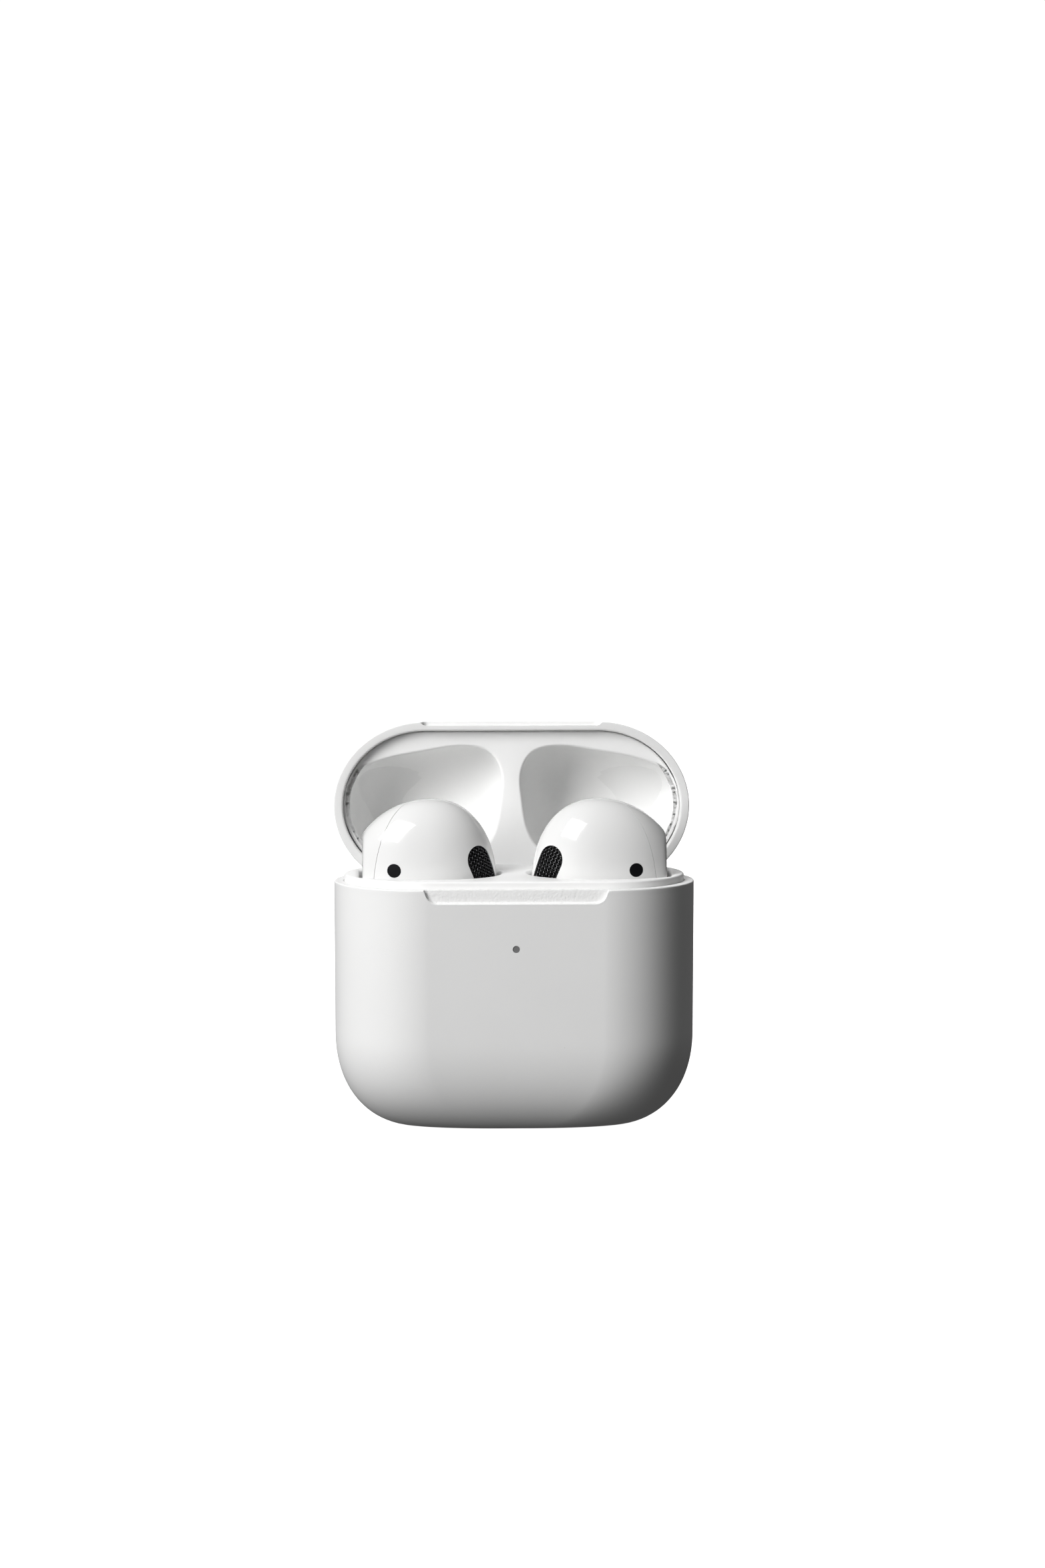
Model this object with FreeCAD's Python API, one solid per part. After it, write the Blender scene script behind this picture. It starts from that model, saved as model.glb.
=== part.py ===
# Charging case for a pair of wireless earbuds, standing open with both earbuds seated.
# Frame: the origin is the centre of the flat base, +X is right seen from the front,
# +Y points to the hinge at the back and +Z is up. Every length is in millimetres.
import FreeCAD, Part
import math
import os

from FreeCAD import Matrix, Vector

os.makedirs("parts", exist_ok=True)

# ---- case, outside -------------------------------------------------------------------
WIDTH = 50.0              # across the front
DEPTH = 23.6              # front to back
RIM_Z = 34.35             # plane where the lid meets the body
LID_HEIGHT = 12.85        # rim plane to the top of the closed lid
END_LENGTH = 12.9         # length of the half oval at each end of the plan outline
DRAFT = 0.1               # how much each side leans in between the rim and the base curve
BASE_HALF_LENGTH = 13.4   # flat the case stands on
BASE_HALF_DEPTH = 3.4
BASE_ROUND_Z = 13.4       # height over which the body curves in to the base
LID_ROUND_Z = 11.3        # height over which the lid curves in to its top
ROUND_POWER = 2.2         # 2 is an ellipse, more is squarer
SEAM_GAP = 0.25           # between the rims when the lid is closed
RIM_EASE = 0.45           # bevel of the rim's back edge, so the lid's rim can roll over it
LEAST_STRAIGHT = 0.2      # always left between the two end ovals
POD_LEAD = 3.0            # upright length that leads into the curved part
POD_LEAD_SHARE = 0.8      # but no more than this share of the upright part
POD_TURNS = (0, 9, 19, 29, 39, 49, 59, 68, 76, 83, 90)   # sections round the curve, degrees

# ---- fits and cutters ----------------------------------------------------------------
OVERCUT = 1.0             # a cutter passes this far beyond the face it opens
THROUGH = 3.0             # and this far in, through any wall
OVERLAP = 0.1             # joined parts of one piece share this much
SNUG = 0.02               # round fixed pieces that fill a hole
PORT_FIT = 0.08
BUTTON_GAP = 0.3
HINGE_GAP_DROP = 1.2      # opening in the shell's back, below the axis

# ---- walls ---------------------------------------------------------------------------
SHELL_WALL = 1.3
TRAY_INSET = 1.4          # outside of the tray, measured in from the outside of the case
TRAY_WALL = 1.2
TRAY_SKIRT = 7.0          # how far the tray's outer wall reaches below the rim
LIP_HEIGHT = 1.0          # the tray stands this far above the rim
LIP_BEVEL = 0.25          # on the lip's outer top edge
DECK_THICK = 2.0
LID_WALL = 1.1
LINER_RECESS = 1.35       # liner face above the lid's rim plane, clears the tray's lip
LINER_THICK = 1.2
POCKET_WALL = 0.6

# ---- hinge ---------------------------------------------------------------------------
OPEN_ANGLE = 93.0
HINGE_INSET = 1.0         # axis in from the back face
HINGE_DROP = 1.9          # axis below the rim plane
KNUCKLE_RADIUS = 0.93
PIN_RADIUS = 0.4
PIN_RUNNING_FIT = 0.05
BARREL_HALF = 4.0         # half length of the lid's barrel
KNUCKLE_END = 7.5         # outer end of the body's knuckles
HINGE_PLATE = 0.55
KNUCKLE_GAP = 0.3         # between the moving barrel and the fixed knuckles
HINGE_ROOM = 0.35         # round the knuckles inside the case
PIN_PRESS_FIT = 0.01      # round the pin in the fixed knuckles
PIN_SHORT = 0.1           # the pin ends this far inside the knuckles
PLATE_CLEAR = 0.4         # the plate ends this far above the tray's skirt
LEAF_SIDE_GAP = 0.15      # between the lid's leaf and its slot
LEAF_RISE = 3.0           # top of the leaf above the rim plane

# ---- front details -------------------------------------------------------------------
NOTCH_HALF = 12.6         # thumb notch in both rims
NOTCH_DEPTH = 1.85
NOTCH_ROUND = 1.75
LID_NOTCH_HEIGHT = 0.9
NOTCH_INSET = 0.55        # both notches are this deep
LIGHT_DROP = 8.2          # status light below the rim
LIGHT_RADIUS = 0.5

# ---- earbuds, seated -----------------------------------------------------------------
BUD_TOP = 45.7
BUD_BOTTOM = 15.2
BUD_OUTER = 21.1          # flat outer face of the stem, from the middle of the case
BUD_WIDEST_Z = 33.0
BUD_HEAD_FOOT = 21.0      # where the head grows out of the stem
HEAD_X = 11.7             # fullest place of the head
HEAD_IN = 9.35            # the head reaches this far inwards from there
HEAD_OUT = 12.0           # and this far outwards, before the flat outer face cuts it
HEAD_HALF_DEPTH = 7.1
HEAD_POWER = 2.25         # roundness of its inner side seen from the front
STEM_MID_X = 18.4
STEM_IN = 2.8
STEM_OUT = 3.6
STEM_HALF_DEPTH = 3.0
BUD_WALL = 0.8
SEAM_SUM = 14.3           # the two shells part on the plane x + y = SEAM_SUM
WELL_CLEARANCE = 0.45
WELL_WALL = 0.9
CONTACT_HEIGHT = 1.0
CONTACT_PIN_Y = 1.3       # charging pins either side of the stem's axis
NECK_LOW_POWER = 1.6      # how softly the head leaves the stem
NECK_HIGH_POWER = 2.2     # and how softly it reaches its widest
STEM_END_ROUND = ((0.0, 0.86), (0.35, 0.96), (0.9, 1.0))   # height, share of full width
STEM_FIRST = 2.4          # first full section above the end of the stem
STEM_STEP = 1.6
HEAD_STEPS = 9
DOME_TURNS = (0, 10, 20, 30, 40, 50, 59, 67, 74, 80, 85)
WELL_STEP = 2.0
WELL_HEAD_STEPS = 8
LAST_STEP_GAP = 0.5       # no section closer than this below the head's foot

HALF_W = WIDTH / 2
HALF_D = DEPTH / 2
AXIS_Y = HALF_D - HINGE_INSET
AXIS_Z = RIM_Z - HINGE_DROP
LID_BASE_Z = RIM_Z + SEAM_GAP
LID_TOP_Z = RIM_Z + LID_HEIGHT
DECK_TOP = RIM_Z + LIP_HEIGHT
STEM_X = (BUD_OUTER + STEM_MID_X - STEM_IN) / 2
WELL_FLOOR_Z = BUD_BOTTOM - 0.6

X_AXIS = Vector(1, 0, 0)
Y_AXIS = Vector(0, 1, 0)
Z_AXIS = Vector(0, 0, 1)


def box(x0, x1, y0, y1, z0, z1):
    return Part.makeBox(x1 - x0, y1 - y0, z1 - z0, Vector(x0, y0, z0))


def rod(radius, start, end):
    """A round bar between two points."""
    return Part.makeCylinder(radius, (end - start).Length, start, end - start)


def mirrored(shape):
    return shape.mirror(Vector(0, 0, 0), X_AXIS)


def save(name, shape):
    """Write one node; a clean single solid leaves its compound."""
    if shape.ShapeType == "Compound" and len(shape.Solids) == 1:
        shape = shape.Solids[0]
    if not shape.isValid():
        print("INVALID", name)
    print(f"{name:34s} solids {len(shape.Solids)}  {shape.Volume / 1000:8.3f} cm3")
    shape.exportStep(f"parts/{name}.step")


def half_oval(center_x, reach, half_depth, z, start_angle):
    """Half an ellipse, as an exact spline scaled from half of a unit circle."""
    circle = Part.Circle(Vector(0, 0, 0), Z_AXIS, 1.0)
    start = math.radians(start_angle)
    curve = Part.ArcOfCircle(circle, start, start + math.pi).toBSpline()
    for index, pole in enumerate(curve.getPoles(), 1):
        curve.setPole(index, Vector(center_x + pole.x * reach, pole.y * half_depth, z))
    return curve.toShape()


def track_wire(half_w, half_d, end, z):
    """The plan outline: straight front and back, a half oval at each end."""
    end = min(end, half_w - LEAST_STRAIGHT)
    straight = half_w - end
    right = half_oval(straight, end, half_d, z, -90)
    left = half_oval(-straight, end, half_d, z, 90)
    back = Part.makeLine(Vector(straight, half_d, z), Vector(-straight, half_d, z))
    front = Part.makeLine(Vector(-straight, -half_d, z), Vector(straight, -half_d, z))
    return Part.Wire([right, back, left, front])


def pod(inset, rim_z, flat_z, round_z, beyond=0.0):
    """A cup or a lid: upright sides from rim_z, then a soft curve in to a flat at flat_z.

    inset makes the same form smaller all round, and beyond carries its open end
    past the rim, which is how a cavity cuts through it."""
    way = 1 if flat_z > rim_z else -1
    end = END_LENGTH - inset
    flat_z = flat_z - way * inset
    round_z = round_z - inset
    turn_z = flat_z - way * round_z
    straight_part = abs(turn_z - rim_z)

    def upright(z):
        lean = DRAFT * abs(z - rim_z) / max(straight_part, 0.01)
        return track_wire(HALF_W - inset - lean, HALF_D - inset - lean, end, z)

    half_w = HALF_W - inset - DRAFT
    half_d = HALF_D - inset - DRAFT
    lead = min(POD_LEAD, POD_LEAD_SHARE * straight_part)
    sections = [upright(turn_z - way * lead), upright(turn_z - way * lead / 2)]
    for angle in POD_TURNS:
        turn = math.radians(angle)
        across = 1 - max(math.cos(turn), 0.0) ** (2 / ROUND_POWER)
        along = 1 - math.sin(turn) ** (2 / ROUND_POWER)
        sections.append(track_wire(half_w - (half_w - BASE_HALF_LENGTH) * across,
                                   half_d - (half_d - BASE_HALF_DEPTH) * across,
                                   end, flat_z - way * round_z * along))
    curved = Part.makeLoft(sections, True, False)
    sides = Part.makeLoft([upright(rim_z - way * beyond), upright(turn_z - way * lead)], True, True)
    return curved.fuse(sides).removeSplitter()


def body_pod(inset, beyond=0.0):
    return pod(inset, RIM_Z, 0.0, BASE_ROUND_Z, beyond)


def lid_pod(inset, beyond=0.0):
    return pod(inset, LID_BASE_Z, LID_TOP_Z, LID_ROUND_Z, beyond)


def prism(inset, z0, z1):
    """An upright block with the plan outline, made smaller by inset."""
    wire = track_wire(HALF_W - inset, HALF_D - inset, END_LENGTH - inset, z0)
    return Part.Face(wire).extrude(Vector(0, 0, z1 - z0))


def slot_prism(half_length, half_width, z0, z1):
    """A standing block with a round-ended slot for its plan."""
    straight = half_length - half_width
    block = box(-straight, straight, -half_width, half_width, z0, z1)
    for side in (-1, 1):
        block = block.fuse(Part.makeCylinder(half_width, z1 - z0, Vector(side * straight, 0, z0)))
    return block.removeSplitter()


def notch_cutter(rim_z, drop, y0, y1):
    """A long scoop in a rim, its ends quarter round; drop is negative for a lid."""
    way = 1 if drop > 0 else -1
    depth = abs(drop)
    ends = min(NOTCH_ROUND, depth)
    cutter = box(-NOTCH_HALF + ends, NOTCH_HALF - ends, y0, y1,
                 min(rim_z - drop, rim_z + way * OVERCUT), max(rim_z - drop, rim_z + way * OVERCUT))
    for side in (-1, 1):
        center = Vector(side * (NOTCH_HALF - ends), y0, rim_z - way * (depth - ends))
        cutter = cutter.fuse(Part.makeCylinder(ends, y1 - y0, center, Y_AXIS))
        x0, x1 = sorted((side * (NOTCH_HALF - ends), side * NOTCH_HALF))
        z0, z1 = sorted((rim_z - way * (depth - ends), rim_z + way * OVERCUT))
        cutter = cutter.fuse(box(x0, x1, y0, y1, z0, z1))
    return cutter.removeSplitter()


def opened(shape):
    """Turn a piece of the closed lid to the open rest position."""
    turned = shape.copy()
    turned.rotate(Vector(0, AXIS_Y, AXIS_Z), X_AXIS, -OPEN_ANGLE)
    return turned


# ---- earbud form ---------------------------------------------------------------------
def bud_section(z, grow):
    """Fullest place, reach inwards, reach outwards and half depth of an earbud at one height."""
    if z <= BUD_WIDEST_Z:
        rise = min(max((z - BUD_HEAD_FOOT) / (BUD_WIDEST_Z - BUD_HEAD_FOOT), 0.0), 1.0)
        swell = 1 - (1 - rise ** NECK_LOW_POWER) ** NECK_HIGH_POWER

        def between(stem, head):
            return stem + (head - stem) * swell

        return (between(STEM_MID_X, HEAD_X), between(STEM_IN, HEAD_IN) + grow,
                between(STEM_OUT, HEAD_OUT) + grow, between(STEM_HALF_DEPTH, HEAD_HALF_DEPTH) + grow)
    rise = min((z - BUD_WIDEST_Z) / (BUD_TOP + grow - BUD_WIDEST_Z), 1.0)
    dome = math.sqrt(max(1 - rise ** 2, 0.0))
    inner_dome = max(1 - rise ** HEAD_POWER, 0.0) ** (1 / HEAD_POWER)
    return HEAD_X, (HEAD_IN + grow) * inner_dome, (HEAD_OUT + grow) * dome, (HEAD_HALF_DEPTH + grow) * dome


def bud_wire(z, grow, shrink=1.0):
    middle, reach_in, reach_out, depth = bud_section(z, grow)
    outwards = half_oval(middle, reach_out * shrink, depth * shrink, z, -90)
    inwards = half_oval(middle, reach_in * shrink, depth * shrink, z, 90)
    return Part.Wire([outwards, inwards])


def outer_face_cut(shape, grow):
    """Cut the flat outer face that runs down the head and the stem."""
    return shape.common(box(-BUD_OUTER, BUD_OUTER + grow, -HALF_D, HALF_D, 0, 2 * BUD_TOP))


def bud_form(grow=0.0):
    """The whole earbud as one solid, for +X; grow makes it larger or smaller all round."""
    low = BUD_BOTTOM - grow
    top = BUD_TOP + grow
    sections = [bud_wire(low + rise, grow, share) for rise, share in STEM_END_ROUND]
    z = low + STEM_FIRST
    while z < BUD_HEAD_FOOT - LAST_STEP_GAP:
        sections.append(bud_wire(z, grow))
        z += STEM_STEP
    for i in range(HEAD_STEPS):
        sections.append(bud_wire(BUD_HEAD_FOOT + (BUD_WIDEST_Z - BUD_HEAD_FOOT) * i / HEAD_STEPS, grow))
    for angle in DOME_TURNS:
        z = BUD_WIDEST_Z + (top - BUD_WIDEST_Z) * math.sin(math.radians(angle))
        sections.append(bud_wire(z, grow))
    return outer_face_cut(Part.makeLoft(sections, True, False), grow)


def well_form(grow, low, high):
    """The room an earbud is lifted out of: its form up to its widest, then straight up."""
    sections = [bud_wire(low, grow)]
    z = low + WELL_STEP
    while z < BUD_HEAD_FOOT - LAST_STEP_GAP:
        sections.append(bud_wire(z, grow))
        z += WELL_STEP
    for i in range(WELL_HEAD_STEPS + 1):
        rise = (BUD_WIDEST_Z - BUD_HEAD_FOOT) * i / WELL_HEAD_STEPS
        sections.append(bud_wire(BUD_HEAD_FOOT + rise, grow))
    bowl = Part.makeLoft(sections, True, False)
    mouth = Part.Face(sections[-1]).extrude(Vector(0, 0, high - BUD_WIDEST_Z))
    return outer_face_cut(bowl.fuse(mouth), grow)


# ---- body of the case ----------------------------------------------------------------
def outer_shell():
    shell = body_pod(0.0).cut(body_pod(SHELL_WALL, beyond=OVERCUT))
    shell = shell.cut(notch_cutter(RIM_Z, NOTCH_DEPTH, -HALF_D - OVERCUT, -HALF_D + NOTCH_INSET))
    light = rod(LIGHT_RADIUS, Vector(0, -HALF_D - OVERCUT, RIM_Z - LIGHT_DROP),
                Vector(0, -HALF_D + THROUGH, RIM_Z - LIGHT_DROP))
    port = slot_prism(PORT_HALF_LENGTH + PORT_FIT, PORT_HALF_WIDTH + PORT_FIT, -OVERCUT, THROUGH)
    button = rod(BUTTON_RADIUS + BUTTON_GAP, Vector(0, HALF_D - THROUGH, BUTTON_Z),
                 Vector(0, HALF_D + OVERCUT, BUTTON_Z))
    hinge_half = KNUCKLE_END + KNUCKLE_GAP
    hinge_gap = box(-hinge_half, hinge_half, HALF_D - SHELL_WALL - OVERCUT, HALF_D + OVERCUT,
                    AXIS_Z - HINGE_GAP_DROP, RIM_Z + OVERCUT)
    back = HALF_D + RIM_EASE
    wedge = Part.Face(Part.makePolygon([Vector(-HALF_W, back, RIM_Z - 2 * RIM_EASE),
                                        Vector(-HALF_W, back, RIM_Z + RIM_EASE),
                                        Vector(-HALF_W, HALF_D - 2 * RIM_EASE, RIM_Z + RIM_EASE),
                                        Vector(-HALF_W, back, RIM_Z - 2 * RIM_EASE)]))
    return shell.cut([light, port, button, hinge_gap, wedge.extrude(Vector(WIDTH, 0, 0))])


def tray_lip(z0, z1):
    """The standing lip, with its outer top edge broken."""
    block = prism(TRAY_INSET, z0, z1 - LIP_BEVEL)
    low = track_wire(HALF_W - TRAY_INSET, HALF_D - TRAY_INSET, END_LENGTH - TRAY_INSET, z1 - LIP_BEVEL)
    top_inset = TRAY_INSET + LIP_BEVEL
    high = track_wire(HALF_W - top_inset, HALF_D - top_inset, END_LENGTH - top_inset, z1)
    return block.fuse(Part.makeLoft([low, high], True, True))


def inner_tray():
    inside = TRAY_INSET + TRAY_WALL
    ring = tray_lip(RIM_Z - TRAY_SKIRT, DECK_TOP)
    ring = ring.cut(prism(inside, RIM_Z - TRAY_SKIRT - OVERCUT, DECK_TOP + OVERCUT))
    deck = prism(inside - OVERLAP, DECK_TOP - DECK_THICK, DECK_TOP)
    outside = well_form(WELL_CLEARANCE + WELL_WALL, WELL_FLOOR_Z, DECK_TOP)
    outside = outside.common(prism(TRAY_INSET, 0, DECK_TOP))
    room = well_form(WELL_CLEARANCE, WELL_FLOOR_Z - OVERCUT, DECK_TOP + OVERCUT)
    tray = ring.fuse([deck, outside, mirrored(outside)])
    tray = tray.cut([room, mirrored(room)])
    hinge_half = KNUCKLE_END + HINGE_ROOM
    hinge_room = box(-hinge_half, hinge_half, PLATE_Y, HALF_D,
                     AXIS_Z - KNUCKLE_RADIUS - HINGE_ROOM, DECK_TOP + OVERCUT)
    tray = tray.cut(hinge_room)
    return tray.cut(hinge_screw_holes()).removeSplitter()


# ---- hinge ---------------------------------------------------------------------------
SCREW_X = 5.4
SCREW_Z = 28.4
SCREW_RADIUS = 0.5
PLATE_Y = HALF_D - TRAY_INSET - TRAY_WALL   # the bracket lies against the tray's back wall


SCREW_END_GAP = 0.2         # the holes stop short of the tray's outer face
SCREW_HEAD_RADIUS = 0.95
SCREW_HEAD = 0.55
DRIVE_HALF_LENGTH = 0.7
DRIVE_HALF_WIDTH = 0.12
DRIVE_DEPTH = 0.25


def hinge_screw_holes():
    end = PLATE_Y + TRAY_WALL - SCREW_END_GAP
    holes = [rod(SCREW_RADIUS + SNUG, Vector(side * SCREW_X, PLATE_Y - THROUGH, SCREW_Z),
                 Vector(side * SCREW_X, end, SCREW_Z)) for side in (-1, 1)]
    return Part.makeCompound(holes)


def hinge_screws():
    screws = []
    seat = PLATE_Y - HINGE_PLATE
    face = seat - SCREW_HEAD
    for side in (-1, 1):
        x = side * SCREW_X
        shank = rod(SCREW_RADIUS, Vector(x, seat - OVERLAP, SCREW_Z),
                    Vector(x, PLATE_Y + TRAY_WALL - SCREW_END_GAP - SNUG, SCREW_Z))
        head = rod(SCREW_HEAD_RADIUS, Vector(x, face, SCREW_Z), Vector(x, seat, SCREW_Z))
        drive = [box(x - along, x + along, face - OVERLAP, face + DRIVE_DEPTH, SCREW_Z - up, SCREW_Z + up)
                 for along, up in ((DRIVE_HALF_LENGTH, DRIVE_HALF_WIDTH), (DRIVE_HALF_WIDTH, DRIVE_HALF_LENGTH))]
        screws.append(head.fuse(shank).cut(drive))
    return Part.makeCompound(screws)


def axis_bore(x0, x1, radius):
    """A bar along the hinge axis that passes through everything between x0 and x1."""
    return rod(radius, Vector(x0 - OVERCUT, AXIS_Y, AXIS_Z), Vector(x1 + OVERCUT, AXIS_Y, AXIS_Z))


def knuckle(x0, x1, bore):
    outer = rod(KNUCKLE_RADIUS, Vector(x0, AXIS_Y, AXIS_Z), Vector(x1, AXIS_Y, AXIS_Z))
    return outer.cut(axis_bore(x0, x1, bore))


def hinge_bracket():
    front = PLATE_Y - HINGE_PLATE
    plate_low = RIM_Z - TRAY_SKIRT + PLATE_CLEAR
    bracket = box(-KNUCKLE_END, KNUCKLE_END, front, PLATE_Y, plate_low, AXIS_Z)
    bore = PIN_RADIUS + PIN_PRESS_FIT
    for side in (-1, 1):
        x0, x1 = sorted((side * (BARREL_HALF + KNUCKLE_GAP), side * KNUCKLE_END))
        arm = box(x0, x1, front, AXIS_Y, AXIS_Z - KNUCKLE_RADIUS, AXIS_Z).cut(axis_bore(x0, x1, bore))
        bracket = bracket.fuse([arm, knuckle(x0, x1, bore)])
    swing_half = BARREL_HALF + KNUCKLE_GAP
    swing = rod(KNUCKLE_RADIUS + KNUCKLE_GAP, Vector(-swing_half, AXIS_Y, AXIS_Z),
                Vector(swing_half, AXIS_Y, AXIS_Z))
    return bracket.cut([swing, hinge_screw_holes()]).removeSplitter()


def hinge_pin():
    half = KNUCKLE_END - PIN_SHORT
    return rod(PIN_RADIUS, Vector(-half, AXIS_Y, AXIS_Z), Vector(half, AXIS_Y, AXIS_Z))


LEAF_HALF = BARREL_HALF - 0.2
LEAF_TOP = RIM_Z + LEAF_RISE
LEAF_FRONT = AXIS_Y - KNUCKLE_RADIUS


def lid_hinge_arm():
    """Barrel on the pin and the leaf that carries the lid."""
    leaf = box(-LEAF_HALF, LEAF_HALF, LEAF_FRONT, LEAF_FRONT + HINGE_PLATE, AXIS_Z, LEAF_TOP)
    bore = PIN_RADIUS + PIN_RUNNING_FIT
    leaf = leaf.cut(axis_bore(-BARREL_HALF, BARREL_HALF, bore))
    return knuckle(-BARREL_HALF, BARREL_HALF, bore).fuse(leaf).removeSplitter()


# ---- lid -----------------------------------------------------------------------------
def lid_shell():
    lid = lid_pod(0.0).cut(lid_pod(LID_WALL, beyond=OVERCUT))
    notch = notch_cutter(LID_BASE_Z, -LID_NOTCH_HEIGHT, -HALF_D - OVERCUT, -HALF_D + NOTCH_INSET)
    return lid.cut(notch)


POCKET_X = 11.75
POCKET_STEPS = (0, 14, 28, 42, 55, 66, 75, 82, 87)
POCKET_FULLNESS = 0.5     # 1 is an elliptic dome, less is fuller
POCKET_LEAN = 0.5         # forward with height, as the head rolls in from the front
POCKET_LEAST_RISE = 0.5   # no section closer than this above the first
# mouth of the head pocket for +X: deep next to the middle rib, shallow at the end
POCKET_CORNERS = ((22.6, 1.5), (22.0, -4.2), (18.6, -6.2), (12.4, -7.5), (6.2, -8.25), (3.0, -7.3),
                  (1.45, -4.4), (1.6, -0.8), (3.0, 4.9), (6.6, 8.0), (12.0, 8.9), (18.8, 7.2))
LINER_FIT = 0.05          # liner in the lid's shell


def pocket_outline(scale, grow, z, lean=0.0):
    """The pocket's outline, scaled about its middle and grown all round."""
    points = []
    for x, y in POCKET_CORNERS:
        arm = Vector(x - POCKET_X, y, 0)
        arm = arm * (scale * (arm.Length + grow) / arm.Length)
        points.append(Vector(POCKET_X + arm.x, arm.y - lean, z))
    curve = Part.BSplineCurve()
    curve.interpolate(points, PeriodicFlag=True)
    return Part.Wire(curve.toShape())


def pocket_form(grow, low, top):
    """Room for an earbud's head in the lid, closing in like a dome."""
    sections = [pocket_outline(1.0, grow, low)]
    spring_z = LID_BASE_Z + LINER_RECESS
    for angle in POCKET_STEPS:
        turn = math.radians(angle)
        z = spring_z + (top + grow - spring_z) * math.sin(turn)
        if z > low + POCKET_LEAST_RISE:
            scale = math.cos(turn) ** POCKET_FULLNESS
            sections.append(pocket_outline(scale, grow, z, POCKET_LEAN * math.sin(turn)))
    return Part.makeLoft(sections, True, False)


def pocket_easing():
    """Bevel round the pocket's mouth."""
    face_z = LID_BASE_Z + LINER_RECESS
    below = POCKET_EASE / 2
    return Part.makeLoft([pocket_outline(1.0, POCKET_EASE + below, face_z - below),
                          pocket_outline(1.0, 0.0, face_z + POCKET_EASE)], True, True)


POCKET_TOP = BUD_TOP + 0.35
POCKET_EASE = 0.7         # bevel of the pocket's mouth
MAGNET_HALF_LENGTH = 3.0  # of both closing magnets
LID_MAGNET_FRONT = -10.0
LID_MAGNET_THICK = 1.7
LID_MAGNET_HEIGHT = 2.6


def lid_liner():
    face_z = LID_BASE_Z + LINER_RECESS
    inside = lid_pod(LID_WALL + LINER_FIT)
    slab = inside.common(box(-HALF_W, HALF_W, -HALF_D, HALF_D, face_z, face_z + LINER_THICK))
    skin = pocket_form(POCKET_WALL, face_z, POCKET_TOP).common(inside)
    room = pocket_form(0.0, face_z - POCKET_LEAST_RISE, POCKET_TOP).fuse(pocket_easing())
    liner = slab.fuse([skin, mirrored(skin)])
    slot_half = LEAF_HALF + LEAF_SIDE_GAP
    leaf_slot = box(-slot_half, slot_half, LEAF_FRONT - LEAF_SIDE_GAP, HALF_D,
                    face_z - OVERCUT, LEAF_TOP + LEAF_SIDE_GAP)
    return liner.cut([room, mirrored(room), leaf_slot])


def lid_magnet():
    base = LID_BASE_Z + LINER_RECESS + LINER_THICK
    return box(-MAGNET_HALF_LENGTH, MAGNET_HALF_LENGTH, LID_MAGNET_FRONT, LID_MAGNET_FRONT + LID_MAGNET_THICK,
               base, base + LID_MAGNET_HEIGHT)


# ---- inside the case -----------------------------------------------------------------
PORT_HALF_LENGTH = 4.47
PORT_HALF_WIDTH = 1.6
PORT_DEPTH = 5.5
BUTTON_RADIUS = 2.7
BUTTON_Z = 17.0
BUTTON_TRAVEL = 0.35
BOARD_Z = 5.8
CHASSIS_Z = 6.6
CELL_Z = 7.6
CELL_TOP = 19.4
CARRIER_LOW = WELL_FLOOR_Z - 2.4


def status_light_guide():
    front = -HALF_D + 0.12
    guide = rod(LIGHT_RADIUS - 0.02, Vector(0, front, RIM_Z - LIGHT_DROP), Vector(0, -8.4, RIM_Z - LIGHT_DROP))
    collar = rod(0.9, Vector(0, -HALF_D + SHELL_WALL + 0.1, RIM_Z - LIGHT_DROP),
                 Vector(0, -9.6, RIM_Z - LIGHT_DROP))
    return guide.fuse(collar)


def status_light_board():
    """Small upright board behind the light guide with its lamp."""
    z = RIM_Z - LIGHT_DROP
    board = box(-2.2, 2.2, -7.9, -7.4, 19.4, z + 1.0)
    lamp = box(-0.55, 0.55, -8.35, -7.9, z - 0.4, z + 0.4)
    return board.fuse(lamp)


def port_shell():
    outer = slot_prism(PORT_HALF_LENGTH, PORT_HALF_WIDTH, 0.15, 0.15 + PORT_DEPTH)
    room = slot_prism(PORT_HALF_LENGTH - 0.3, PORT_HALF_WIDTH - 0.3, -1, 0.15 + PORT_DEPTH - 0.5)
    return outer.cut(room)


def port_tongue():
    top = 0.15 + PORT_DEPTH - 0.5
    return box(-3.35, 3.35, -0.35, 0.35, 1.0, top)


def main_board():
    return slot_prism(13.5, 6.0, BOARD_Z, BOARD_Z + 0.8)


def chassis():
    """Frame across the body that holds the cell, the board and the pin carriers."""
    plate = body_pod(SHELL_WALL + 0.08).common(box(-HALF_W, HALF_W, -HALF_D, HALF_D, CHASSIS_Z, CELL_Z))
    for side in (-1, 1):
        post = Part.makeCylinder(2.3, CARRIER_LOW - CELL_Z + 0.1, Vector(side * STEM_X, 0, CELL_Z - 0.1))
        plate = plate.fuse(post)
    wall = box(-12.8, 12.8, 5.4, 6.2, CELL_Z - 0.1, CELL_Z + 3.0)
    return plate.fuse([wall, wall.mirror(Vector(0, -0.5, 0), Y_AXIS)]).removeSplitter()


def battery_cell():
    cell = box(-12.5, 12.5, -6.2, 5.2, CELL_Z, CELL_TOP)
    return cell.makeFillet(1.5, [edge for edge in cell.Edges if abs(edge.tangentAt(0).z) > 0.9])


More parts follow.
